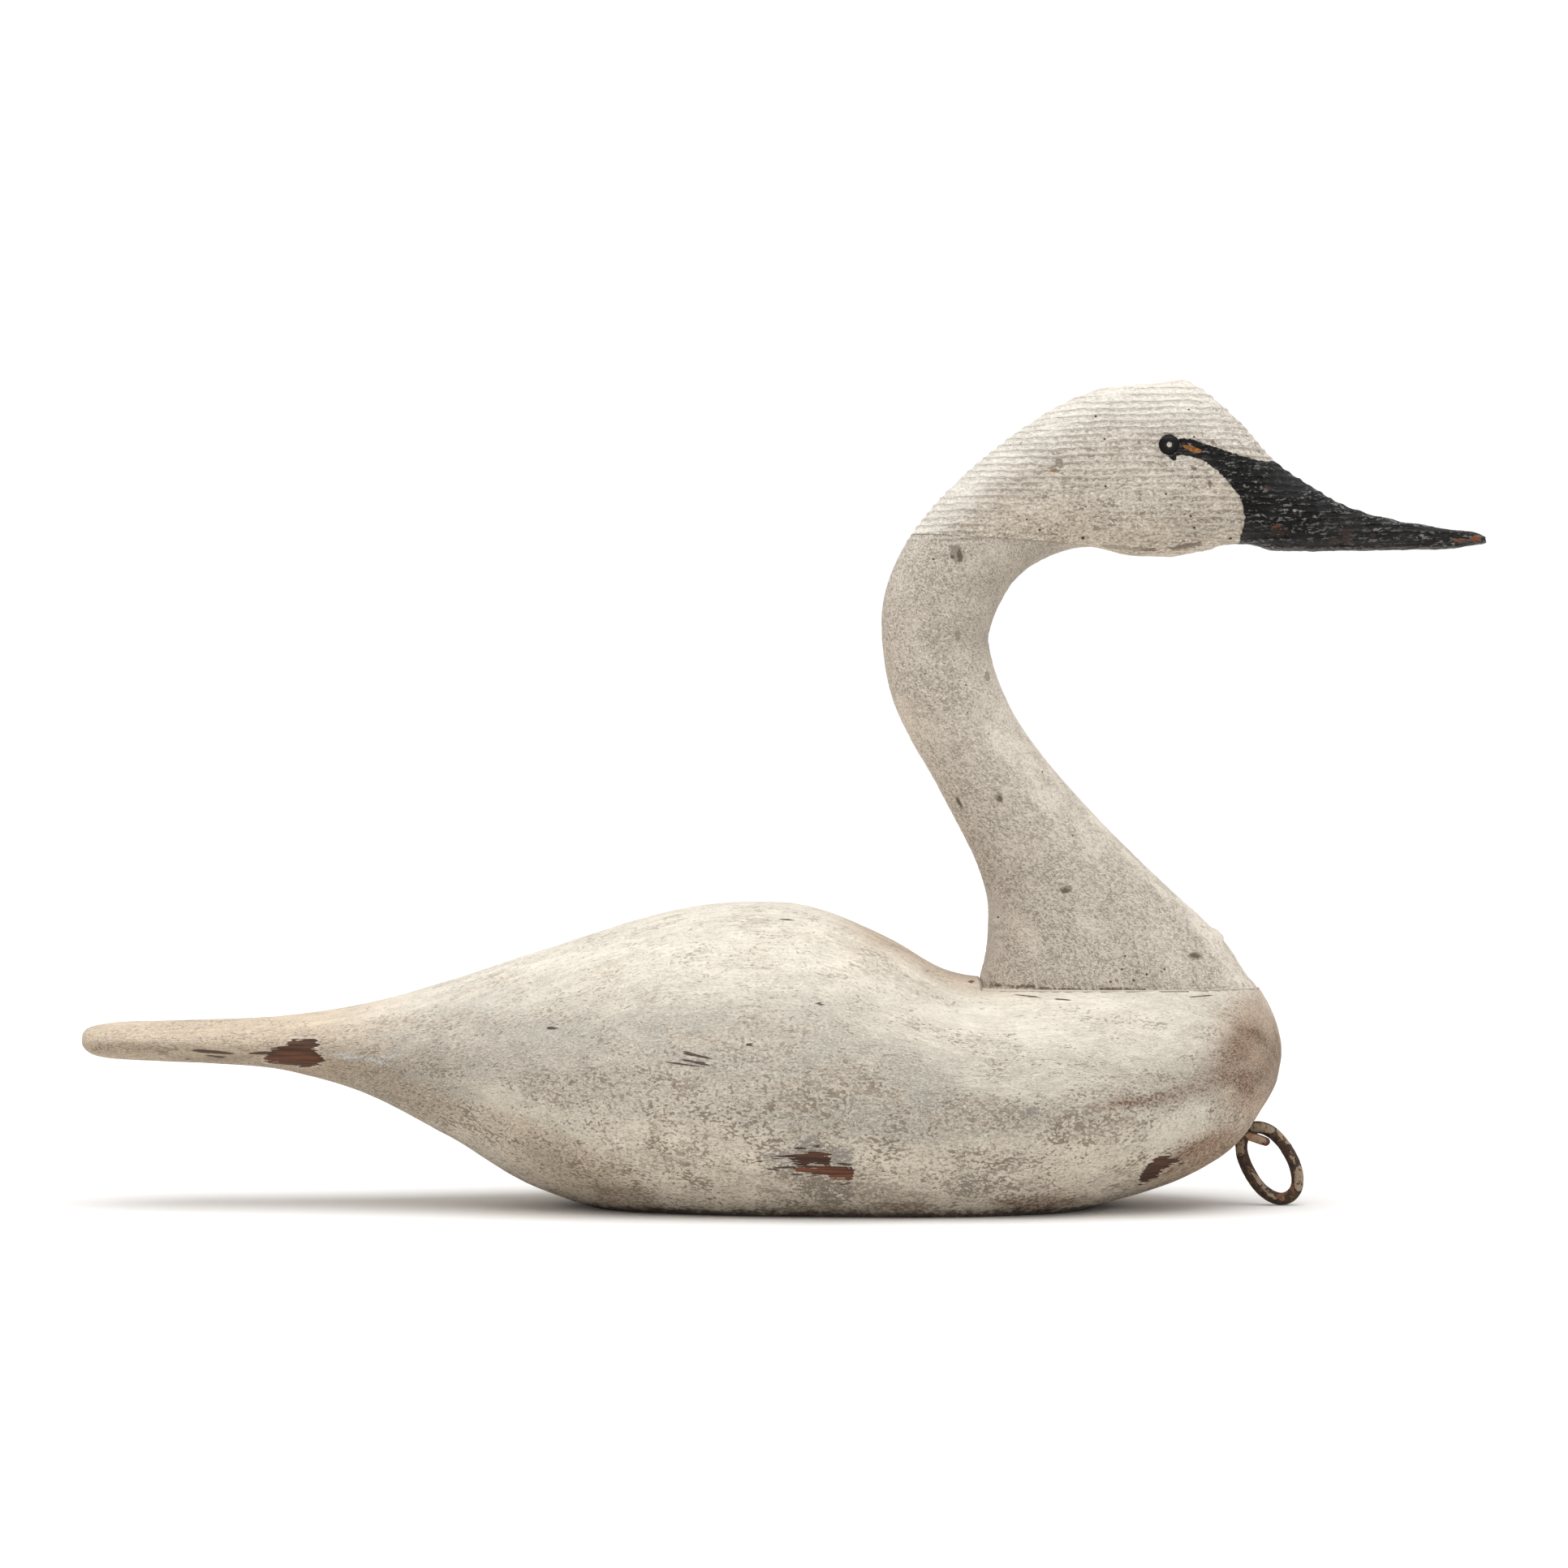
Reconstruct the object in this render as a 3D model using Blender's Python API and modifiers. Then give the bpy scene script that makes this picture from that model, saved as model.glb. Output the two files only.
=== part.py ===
# Carved and painted swan decoy: body, neck, head with its bill, two tack eyes, an iron staple and its line ring.
# Metres, +Z up, bill towards +X. The origin is on the floor, under the middle of the length and the width.

import math
from collections import namedtuple

import bmesh
import bpy
from mathutils import Matrix, Vector

MM = 0.001
GAP = 0.0003
OVERSHOOT = 0.05

# A carving section: its top and low points in the middle plane, its half width, how far up the widest line
# runs (0 low, 1 top), and its squareness (2 is an ellipse, more is boxier). Millimetres.
Section = namedtuple("Section", "top_x top_z low_x low_z half_width widest squareness")

# The body from the tail's blunt end to the breast. Low points under 0 are the rounded hull that the flat base cuts.
BODY_SECTIONS = [
    Section(-431.3, 107, -431.3, 97.5, 10, 0.50, 2.3),
    Section(-428.8, 109.5, -428.8, 95.1, 19.5, 0.50, 2.3),
    Section(-422, 111.5, -422, 92, 31, 0.50, 2.2),
    Section(-408, 113.1, -408, 90.2, 38.5, 0.50, 2.1),
    Section(-350, 114.4, -350, 87.6, 43.5, 0.50, 2.0),
    Section(-306, 116.8, -306, 83.3, 48, 0.51, 2.0),
    Section(-258, 124.2, -258, 69.6, 58, 0.52, 2.0),
    Section(-208, 138, -208, 44, 76, 0.53, 2.0),
    Section(-158, 154.3, -158, 14.5, 97, 0.53, 2.05),
    Section(-108, 170.3, -108, -2.5, 115, 0.50, 2.1),
    Section(-62, 183, -62, -10.5, 126, 0.47, 2.1),
    Section(-20, 187, -20, -15, 131, 0.45, 2.1),
    Section(18, 183.5, 18, -17.5, 131.5, 0.46, 2.1),
    Section(66, 163.8, 66, -20, 130.5, 0.50, 2.1),
    Section(98, 145.8, 98, -20, 129, 0.56, 2.1),
    Section(124, 140.5, 124, -17, 126.5, 0.58, 2.15),
    Section(160, 143, 160, -9, 120.5, 0.55, 2.2),
    Section(200, 145.5, 198, 2.3, 110, 0.52, 2.2),
    Section(240, 145.5, 240.5, 16, 91, 0.50, 2.2),
    Section(270, 142.8, 267, 29.8, 69, 0.50, 2.2),
    Section(287.2, 138.8, 281, 41.5, 51, 0.50, 2.15),
    Section(296.3, 127.7, 294, 60, 36, 0.52, 2.1),
    Section(302.5, 114.5, 302, 73.5, 20, 0.55, 2.0),
    Section(305.5, 103, 305.5, 87, 8, 0.5, 2.0),
]

# The neck and head in one sweep, from below the body's seat up the neck, over the head and out to the bill's tip.
# The top points run up the back of the neck and over the crown; the low points up its front and under the chin.
NECK_SECTIONS = [
    Section(119.5, 122, 291, 121, 49, 0.50, 2.3),
    Section(121, 142, 284.3, 142, 47, 0.50, 2.3),
    Section(123.8, 153, 275.3, 157, 45, 0.50, 2.35),
    Section(125.3, 165, 264, 170.3, 43, 0.50, 2.4),
    Section(125.5, 187.5, 237.3, 195, 38, 0.50, 2.5),
    Section(119, 210.5, 209.5, 221.5, 33.5, 0.50, 2.5),
    Section(107, 235, 185, 247, 30.5, 0.50, 2.5),
    Section(93, 261.5, 163, 272, 29, 0.50, 2.5),
    Section(78, 287.5, 144.5, 297.5, 28, 0.50, 2.5),
    Section(66.5, 313.5, 133, 320.5, 28, 0.50, 2.5),
    Section(61.2, 341, 127, 340, 28, 0.50, 2.5),
    Section(60.5, 365, 126, 350, 28, 0.50, 2.5),
    Section(65.5, 388, 128.3, 360.5, 28, 0.50, 2.5),
    Section(77.5, 411, 133.5, 372, 28, 0.50, 2.5),
    Section(98, 436.5, 141, 384, 28.5, 0.50, 2.5),
    Section(124.5, 461, 153, 394.3, 30, 0.50, 2.5),
    Section(158, 485.3, 170, 402.3, 31.5, 0.48, 2.6),
    Section(188, 500.3, 189, 405.7, 32.5, 0.48, 2.7),
    Section(216, 505.3, 212, 400.7, 33, 0.47, 2.8),
    Section(233, 506, 229, 399.8, 33, 0.47, 2.8),
    Section(246, 507.4, 242, 400.6, 32.8, 0.47, 2.8),
    Section(257, 502, 253, 402.3, 32.2, 0.47, 2.75),
    Section(270, 491.2, 267, 406, 30.3, 0.46, 2.7),
    Section(283, 478.7, 281.5, 408.1, 27, 0.45, 2.6),
    Section(302, 457.6, 302.5, 404.2, 21, 0.44, 2.5),
    Section(323, 443, 323, 403.6, 17.5, 0.44, 2.4),
    Section(347, 429.6, 347, 403.6, 15.5, 0.45, 2.3),
    Section(377, 421.2, 377, 404, 14.5, 0.47, 2.2),
    Section(407, 416.3, 407, 405.2, 13, 0.50, 2.2),
    Section(424, 413.8, 424, 406.8, 9.5, 0.50, 2.2),
    Section(431.3, 411.6, 431.3, 408.4, 4.5, 0.50, 2.2),
]

BODY_SPACING = 0.0165
BODY_SIDES = 34
NECK_SPACING = 0.0135
NECK_SIDES = 24

# The neck's glue seat is a flat cut across the top of the breast.
SEAT_Z = 0.1345
SEAT_BACK_X = 0.1185

# The head is glued to the neck on one sloping cut, from the nape to the top of the throat.
SEAM_NAPE = Vector((0.080, 0, 0.413))
SEAM_THROAT = Vector((0.188, 0, 0.4060))
UNDER_CHIN_Z = 0.385

# A round-headed tack makes each eye, in a shallow flat-bottomed socket.
EYE_X = 0.2346
EYE_Z = 0.4662
EYE_RADIUS = 0.006
EYE_CROWN = 0.0355
EYE_SEAT = 0.0318
EYE_RIM_RISE = 0.0016
EYE_SIDES = 20

# The line ring is an oval iron link that stands on the floor and leans into a worn nick in the breast.
RING_CENTRE = Vector((0.2991, 0, 0.0260))
RING_HALF_LENGTH = 0.0240
RING_HALF_WIDTH = 0.0136
RING_LEAN = math.radians(-59.5)
RING_SQUARENESS = 2.15
RING_WIRE = 0.0038
RING_POINTS = 32
NICK_CLEARANCE = 0.0006

# The staple is driven into the breast with its legs side by side, and the ring passes down between them.
STAPLE_TIP = Vector((0.2968, 0, 0.0392))
STAPLE_DROP = math.radians(19)
STAPLE_HALF_SPAN = 0.0070
STAPLE_WIRE = 0.00265
STAPLE_LEG = 0.0215
STAPLE_BEND_POINTS = 9


def clear_scene():
    for old in list(bpy.data.objects):
        bpy.data.objects.remove(old, do_unlink=True)


def new_collection(name):
    collection = bpy.data.collections.new(name)
    bpy.context.scene.collection.children.link(collection)
    return collection


def material(name, colour, roughness, metallic):
    made = bpy.data.materials.new(name)
    made.use_nodes = True
    shader = made.node_tree.nodes["Principled BSDF"]
    shader.inputs["Base Color"].default_value = (*colour, 1)
    shader.inputs["Roughness"].default_value = roughness
    shader.inputs["Metallic"].default_value = metallic
    return made


def place(name, data, collection, finish=None):
    made = bpy.data.objects.new(name, data)
    collection.objects.link(made)
    if finish:
        data.materials.append(finish)
    return made


def as_cutter(cutter):
    cutter.hide_render = True
    cutter.display_type = "WIRE"
    return cutter


def cut(solid, cutter):
    modifier = solid.modifiers.new("cut by " + cutter.name, "BOOLEAN")
    modifier.operation = "DIFFERENCE"
    modifier.object = cutter


def smooth(mesh, sharp_angle):
    mesh.shade_smooth()
    mesh.set_sharp_from_angle(angle=sharp_angle)


# Sections between the stated ones follow a cubic that passes through every stated section.
def blend_sections(sections, spacing):
    rows = [Vector(section) for section in sections]
    reach = [0.0]
    for before, after in zip(rows, rows[1:]):
        top_run = math.hypot(after[0] - before[0], after[1] - before[1])
        low_run = math.hypot(after[2] - before[2], after[3] - before[3])
        reach.append(reach[-1] + max(top_run, low_run) * MM)
    slopes = []
    for here in range(len(rows)):
        first = max(here - 1, 0)
        last = min(here + 1, len(rows) - 1)
        slopes.append((rows[last] - rows[first]) / (reach[last] - reach[first]))
    blended = []
    for here in range(len(rows) - 1):
        span = reach[here + 1] - reach[here]
        steps = max(1, round(span / spacing))
        for step in range(steps):
            t = step / steps
            rise = t * t * (3 - 2 * t)
            blended.append(
                rows[here] * (1 - rise)
                + rows[here + 1] * rise
                + slopes[here] * span * t * (1 - t) ** 2
                - slopes[here + 1] * span * (1 - t) * t * t
            )
    blended.append(rows[-1])
    return [Section(*row) for row in blended]


def rounded(value, squareness):
    return math.copysign(abs(value) ** (2 / squareness), value)


def section_points(section, sides):
    top = Vector((section.top_x, 0, section.top_z)) * MM
    low = Vector((section.low_x, 0, section.low_z)) * MM
    middle = low.lerp(top, section.widest)
    points = []
    for side in range(sides):
        angle = 2 * math.pi * side / sides
        across = rounded(math.cos(angle), section.squareness) * section.half_width * MM
        along = rounded(math.sin(angle), section.squareness)
        arm = (top - middle) if along > 0 else (middle - low)
        points.append(middle + arm * along + Vector((0, across, 0)))
    return points


# A loft through unlike sections, closed at both ends by a fan of triangles.
def carve(name, sections, spacing, sides):
    form = bmesh.new()
    rings = []
    for section in blend_sections(sections, spacing):
        rings.append([form.verts.new(point) for point in section_points(section, sides)])
    for ring, following in zip(rings, rings[1:]):
        for side in range(sides):
            after = (side + 1) % sides
            form.faces.new((ring[side], ring[after], following[after], following[side]))
    for ring in (rings[0], rings[-1]):
        centre = sum((corner.co for corner in ring), Vector()) / sides
        pole = form.verts.new(centre)
        for side in range(sides):
            form.faces.new((ring[side], ring[(side + 1) % sides], pole))
    bmesh.ops.recalc_face_normals(form, faces=form.faces)
    mesh = bpy.data.meshes.new(name)
    form.to_mesh(mesh)
    form.free()
    smooth(mesh, math.radians(50))
    return mesh


def box_between(name, low, high, collection, turn=None):
    form = bmesh.new()
    bmesh.ops.create_cube(form, size=1)
    low, high = Vector(low), Vector(high)
    size = Matrix.Diagonal((*(high - low), 1))
    bmesh.ops.transform(form, matrix=Matrix.Translation((low + high) / 2) @ size, verts=form.verts)
    if turn:
        bmesh.ops.transform(form, matrix=turn, verts=form.verts)
    mesh = bpy.data.meshes.new(name)
    form.to_mesh(mesh)
    form.free()
    return as_cutter(place(name, mesh, collection))


def wire(name, points, radius, collection, closed, finish=None):
    route = bpy.data.curves.new(name, "CURVE")
    route.dimensions = "3D"
    route.bevel_depth = radius
    route.bevel_resolution = 2
    route.use_fill_caps = not closed
    spline = route.splines.new("POLY")
    spline.points.add(len(points) - 1)
    for spot, point in zip(spline.points, points):
        spot.co = (*point, 1)
    spline.use_cyclic_u = closed
    return place(name, route, collection, finish)


# A curve can't cut, so its evaluated surface becomes a closed mesh first.
def wire_cutter(name, points, radius, collection, closed):
    guide = wire(name + " guide", points, radius, collection, closed)
    bpy.context.view_layer.update()
    mesh = bpy.data.meshes.new_from_object(guide.evaluated_get(bpy.context.evaluated_depsgraph_get()))
    form = bmesh.new()
    form.from_mesh(mesh)
    bmesh.ops.remove_doubles(form, verts=form.verts, dist=0.00001)
    bmesh.ops.recalc_face_normals(form, faces=form.faces)
    form.to_mesh(mesh)
    form.free()
    bpy.data.objects.remove(guide, do_unlink=True)
    return as_cutter(place(name, mesh, collection))


def ring_route():
    long_way = Vector((math.cos(RING_LEAN), 0, math.sin(RING_LEAN)))
    short_way = Vector((-math.sin(RING_LEAN), 0, math.cos(RING_LEAN)))
    points = []
    for step in range(RING_POINTS):
        angle = 2 * math.pi * step / RING_POINTS
        along = rounded(math.cos(angle), RING_SQUARENESS) * RING_HALF_LENGTH
        across = rounded(math.sin(angle), RING_SQUARENESS) * RING_HALF_WIDTH
        points.append(RING_CENTRE + long_way * along + short_way * across)
    return points


def staple_route():
    outwards = Vector((math.cos(STAPLE_DROP), 0, -math.sin(STAPLE_DROP)))
    bend_centre = STAPLE_TIP - outwards * STAPLE_HALF_SPAN
    points = [bend_centre - outwards * STAPLE_LEG - Vector((0, STAPLE_HALF_SPAN, 0))]
    for step in range(STAPLE_BEND_POINTS):
        angle = math.pi * (step / (STAPLE_BEND_POINTS - 1) - 0.5)
        reach = outwards * math.cos(angle) + Vector((0, math.sin(angle), 0))
        points.append(bend_centre + reach * STAPLE_HALF_SPAN)
    points.append(bend_centre - outwards * STAPLE_LEG + Vector((0, STAPLE_HALF_SPAN, 0)))
    return points


# A turned dome: the profile's outer side runs down, and the Screw closes it round the Z axis.
def make_eye(name, side, collection, finish):
    dome = EYE_CROWN - EYE_SEAT - GAP
    rim = EYE_RIM_RISE
    arc_steps = 5
    profile = [(0.0, dome)]
    for step in range(1, arc_steps + 1):
        angle = math.pi / 2 * step / arc_steps
        profile.append((EYE_RADIUS * math.sin(angle), rim + (dome - rim) * math.cos(angle)))
    profile.append((EYE_RADIUS, 0.0))
    profile.append((0.0, 0.0))
    form = bmesh.new()
    corners = [form.verts.new((across, 0, height)) for across, height in profile]
    for upper, lower in zip(corners, corners[1:]):
        form.edges.new((upper, lower))
    mesh = bpy.data.meshes.new(name)
    form.to_mesh(mesh)
    form.free()
    eye = place(name, mesh, collection, finish)
    turning = eye.modifiers.new("turned", "SCREW")
    turning.steps = EYE_SIDES
    turning.render_steps = EYE_SIDES
    turning.use_merge_vertices = True
    turning.merge_threshold = 0.00005
    eye.location = (EYE_X, side * (EYE_SEAT + GAP), EYE_Z)
    eye.rotation_euler = (-side * math.pi / 2, 0, 0)
    return eye


def eye_socket(name, side, collection):
    form = bmesh.new()
    depth = OVERSHOOT
    radius = EYE_RADIUS + GAP
    bmesh.ops.create_cone(
        form, cap_ends=True, segments=EYE_SIDES, radius1=radius, radius2=radius, depth=depth
    )
    mesh = bpy.data.meshes.new(name)
    form.to_mesh(mesh)
    form.free()
    socket = as_cutter(place(name, mesh, collection))
    socket.location = (EYE_X, side * (EYE_SEAT + depth / 2), EYE_Z)
    socket.rotation_euler = (math.pi / 2, 0, 0)
    return socket


# The two seam cutters meet in the glue line: one takes the neck's share away from the head, one the reverse.
def seam_cutter(name, below, collection):
    run = SEAM_THROAT - SEAM_NAPE
    turn = Matrix.Translation(SEAM_NAPE) @ Matrix.Rotation(-math.atan2(run.z, run.x), 4, "Y")
    width = 3 * OVERSHOOT
    if below:
        low = (-width, -width, -width * 2)
        high = (run.length, width, GAP / 2)
    else:
        low = (-width, -width, -GAP / 2)
        high = (width * 3, width, width * 2)
    return box_between(name, low, high, collection, turn)


# The sloping seam ends at the throat. The chin hangs a little lower beyond it, so level boxes part the rest there.
def throat_cutter(collection):
    low = (SEAM_THROAT.x - GAP, -OVERSHOOT, UNDER_CHIN_Z)
    high = (0.45, OVERSHOOT, 0.52)
    return box_between("head side of the throat", low, high, collection)


def chin_cutter(collection):
    low = (0, -2 * OVERSHOOT, 0)
    high = (0.45, 2 * OVERSHOOT, UNDER_CHIN_Z)
    return box_between("neck side of the throat", low, high, collection)


def make_body(collection, cutters, finish):
    body = place("body", carve("body", BODY_SECTIONS, BODY_SPACING, BODY_SIDES), collection, finish)
    base = box_between("flat base", (-0.5, -0.2, -0.1), (0.5, 0.2, 0), cutters)
    seat = box_between("neck seat", (SEAT_BACK_X, -0.2, SEAT_Z), (0.5, 0.2, 0.3), cutters)
    nick = wire_cutter("ring nick", ring_route(), RING_WIRE + NICK_CLEARANCE, cutters, True)
    holes = wire_cutter("staple holes", staple_route(), STAPLE_WIRE + 2 * GAP, cutters, False)
    for cutter in (base, seat, nick, holes):
        cut(body, cutter)
    return body


def make_neck(collection, cutters, finish):
    neck = place("neck", carve("neck", NECK_SECTIONS, NECK_SPACING, NECK_SIDES), collection, finish)
    foot = box_between("neck foot", (0, -0.2, 0), (0.5, 0.2, SEAT_Z + GAP), cutters)
    for cutter in (foot, seam_cutter("above the seam", False, cutters), throat_cutter(cutters)):
        cut(neck, cutter)
    return neck


def make_head(collection, cutters, finish):
    head = place("head", carve("head", NECK_SECTIONS, NECK_SPACING, NECK_SIDES), collection, finish)
    cut(head, seam_cutter("below the seam", True, cutters))
    cut(head, chin_cutter(cutters))
    for label, side in (("left", 1), ("right", -1)):
        cut(head, eye_socket(label + " eye socket", side, cutters))
    return head


def main():
    clear_scene()
    decoy = new_collection("swan decoy")
    cutters = new_collection("cutters")
    white_paint = material("worn white paint", (0.70, 0.66, 0.58), 0.72, 0)
    iron = material("rusted iron", (0.16, 0.11, 0.08), 0.7, 0.5)
    tack = material("black tack", (0.02, 0.02, 0.02), 0.35, 0.2)
    make_body(decoy, cutters, white_paint)
    make_neck(decoy, cutters, white_paint)
    make_head(decoy, cutters, white_paint)
    make_eye("eye_left", 1, decoy, tack)
    make_eye("eye_right", -1, decoy, tack)
    wire("staple", staple_route(), STAPLE_WIRE, decoy, False, iron)
    wire("line_ring", ring_route(), RING_WIRE, decoy, True, iron)


main()
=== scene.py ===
import math

import bmesh
import bpy
import numpy as np
from mathutils import Matrix, Vector
from mathutils.bvhtree import BVHTree


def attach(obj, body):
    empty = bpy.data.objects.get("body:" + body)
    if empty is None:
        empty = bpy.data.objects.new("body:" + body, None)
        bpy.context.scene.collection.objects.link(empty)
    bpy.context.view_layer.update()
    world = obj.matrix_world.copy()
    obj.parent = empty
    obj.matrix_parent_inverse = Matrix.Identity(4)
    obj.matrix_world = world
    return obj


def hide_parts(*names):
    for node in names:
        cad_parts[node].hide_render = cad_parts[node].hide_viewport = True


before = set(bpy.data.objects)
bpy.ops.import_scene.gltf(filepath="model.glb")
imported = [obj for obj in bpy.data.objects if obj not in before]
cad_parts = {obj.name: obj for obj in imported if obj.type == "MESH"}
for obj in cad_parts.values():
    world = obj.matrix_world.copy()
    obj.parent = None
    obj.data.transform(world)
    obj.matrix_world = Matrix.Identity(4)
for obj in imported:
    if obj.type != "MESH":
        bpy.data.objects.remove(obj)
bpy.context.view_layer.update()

# Carved and painted swan decoy: the worn paint, bare wood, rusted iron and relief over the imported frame.
# Metres, +Z up, bill towards +X. The near side of the photograph is -Y.
mm = 0.001
fieldReach = 30.0                                        # as far outside an outline as its field goes, in mm
markFloor = -3.0                                         # a mark's field far outside the mark
carvedEdge = 42                                          # a carving's edge stays sharp over this many degrees
nearSide = -1
farSide = 1


def tone(red, green, blue):                              # a screen colour, 0 to 255, as the shader takes it
    shares = []
    for value in (red, green, blue):
        share = value / 255
        shares.append(share / 12.92 if share <= 0.04045 else ((share + 0.055) / 1.055) ** 2.4)
    return (*shares, 1.0)


# Short calls for building one node tree, shader or geometry.
class Plan:
    def __init__(self, tree):
        self.tree = tree

    def put(self, kind, sockets=None, **settings):
        made = self.tree.nodes.new(kind)
        for name, value in settings.items():
            setattr(made, name, value)
        for key, value in (sockets or {}).items():
            self.feed(made.inputs[key], value)
        return made

    def feed(self, socket, value):
        if isinstance(value, bpy.types.NodeSocket):
            self.tree.links.new(value, socket)
        else:
            socket.default_value = value

    def calc(self, operation, first, second=0.5, third=0.5, clamp=False):
        sockets = {0: first, 1: second, 2: third}
        return self.put("ShaderNodeMath", sockets, operation=operation, use_clamp=clamp).outputs[0]

    def times(self, first, second):
        return self.calc("MULTIPLY", first, second)

    def scaled(self, value, factor, base):               # the value times the factor, plus the base
        return self.calc("MULTIPLY_ADD", value, factor, base)

    def most(self, first, second):
        return self.calc("MAXIMUM", first, second)

    def centred(self, value):                            # a noise of 0 to 1 as one round 0
        return self.calc("SUBTRACT", value, 0.5)

    def gate(self, value, low, high):                    # 1 below the low value, 0 above the high one
        return self.span(value, low, high, 1.0, 0.0)

    def move(self, operation, first, second=(0, 0, 0)):
        made = self.put("ShaderNodeVectorMath", {0: first, 1: second}, operation=operation)
        return made.outputs["Value" if operation in ("LENGTH", "DISTANCE") else "Vector"]

    def noise(self, where, scale, detail=2.0, rough=0.5, warp=0.0, wide=False):
        sockets = {"Vector": where, "Scale": scale, "Detail": detail, "Roughness": rough, "Distortion": warp}
        return self.put("ShaderNodeTexNoise", sockets).outputs["Color" if wide else 0]

    def pattern(self, where, stretch, detail=2.0, rough=0.5, warp=0.0, wide=False):
        return self.noise(self.move("MULTIPLY", where, stretch), 1.0, detail, rough, warp, wide)

    def span(self, value, low, high, start=0.0, end=1.0, smooth=True):
        sockets = {0: value, 1: low, 2: high, 3: start, 4: end}
        kind = "SMOOTHSTEP" if smooth else "LINEAR"
        return self.put("ShaderNodeMapRange", sockets, interpolation_type=kind).outputs[0]

    def blend(self, share, under, over, way="MIX"):
        sockets = {0: share, 6: under, 7: over}
        return self.put("ShaderNodeMix", sockets, data_type="RGBA", blend_type=way).outputs[2]

    def parts(self, vector):
        return self.put("ShaderNodeSeparateXYZ", {0: vector}).outputs

    def join(self, x, y, z):
        return self.put("ShaderNodeCombineXYZ", {0: x, 1: y, 2: z}).outputs[0]


def newGroup(name, kind, inputs, outputs):
    tree = bpy.data.node_groups.new(name, kind)
    for label, form, value in inputs:
        socket = tree.interface.new_socket(label, in_out="INPUT", socket_type=form)
        if value is not None:
            socket.default_value = value
    for label, form in outputs:
        tree.interface.new_socket(label, in_out="OUTPUT", socket_type=form)
    plan = Plan(tree)
    return plan, plan.put("NodeGroupInput").outputs, plan.put("NodeGroupOutput").inputs


# Raised grain: long crests that wander and break up. Gives the soft relief, a painted highlight along each
# crest and a painted shadow just below it.
def raisedGrain(plan, where, spacing, wander, breaks):
    drift = plan.pattern(where, (9.0, 14.0, 26.0), 2.0)
    ripple = plan.pattern(where, (130.0, 130.0, 60.0), 2.0)
    lift = plan.times(plan.centred(drift), wander)
    lift = plan.scaled(plan.centred(ripple), plan.times(spacing, 0.75), lift)
    phase = plan.calc("DIVIDE", plan.calc("ADD", plan.parts(where)[2], lift), spacing)
    share = plan.calc("FRACT", phase)
    level = plan.calc("FLOOR", phase)
    crest = plan.calc("SUBTRACT", 1.0, plan.calc("ABSOLUTE", plan.scaled(share, 2.0, -1.0)))
    lane = plan.join(plan.parts(where)[0], plan.times(level, 0.37), 0.0)
    strength = plan.span(plan.noise(lane, breaks, 3.0, 0.6), 0.30, 0.50)
    soft = plan.times(plan.span(crest, 0.35, 1.0), strength)
    line = plan.times(plan.span(crest, 0.66, 0.94), strength)
    under = plan.times(plan.span(share, 0.06, 0.20), plan.gate(share, 0.22, 0.36))
    return soft, line, plan.times(under, strength)


print("helpers ready")

# Carving sections in millimetres: top x and z, low x and z, half width, widest line, squareness.
bodySections = [
    (-431.3, 107, -431.3, 97.5, 10, 0.50, 2.3), (-428.8, 109.5, -428.8, 95.1, 19.5, 0.50, 2.3),
    (-422, 111.5, -422, 92, 31, 0.50, 2.2), (-408, 113.1, -408, 90.2, 38.5, 0.50, 2.1),
    (-350, 114.4, -350, 87.6, 43.5, 0.50, 2.0), (-306, 116.8, -306, 83.3, 48, 0.51, 2.0),
    (-258, 124.2, -258, 69.6, 58, 0.52, 2.0), (-208, 138, -208, 44, 76, 0.53, 2.0),
    (-158, 154.3, -158, 14.5, 97, 0.53, 2.05), (-108, 170.3, -108, -2.5, 115, 0.50, 2.1),
    (-62, 183, -62, -10.5, 126, 0.47, 2.1), (-20, 187, -20, -15, 131, 0.45, 2.1),
    (18, 183.5, 18, -17.5, 131.5, 0.46, 2.1), (66, 163.8, 66, -20, 130.5, 0.50, 2.1),
    (98, 145.8, 98, -20, 129, 0.56, 2.1), (124, 140.5, 124, -17, 126.5, 0.58, 2.15),
    (160, 143, 160, -9, 120.5, 0.55, 2.2), (200, 145.5, 198, 2.3, 110, 0.52, 2.2),
    (240, 145.5, 240.5, 16, 91, 0.50, 2.2), (270, 142.8, 267, 29.8, 69, 0.50, 2.2),
    (287.2, 138.8, 281, 41.5, 51, 0.50, 2.15), (296.3, 127.7, 294, 60, 36, 0.52, 2.1),
    (302.5, 114.5, 302, 73.5, 20, 0.55, 2.0), (305.5, 103, 305.5, 87, 8, 0.5, 2.0),
]
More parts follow.
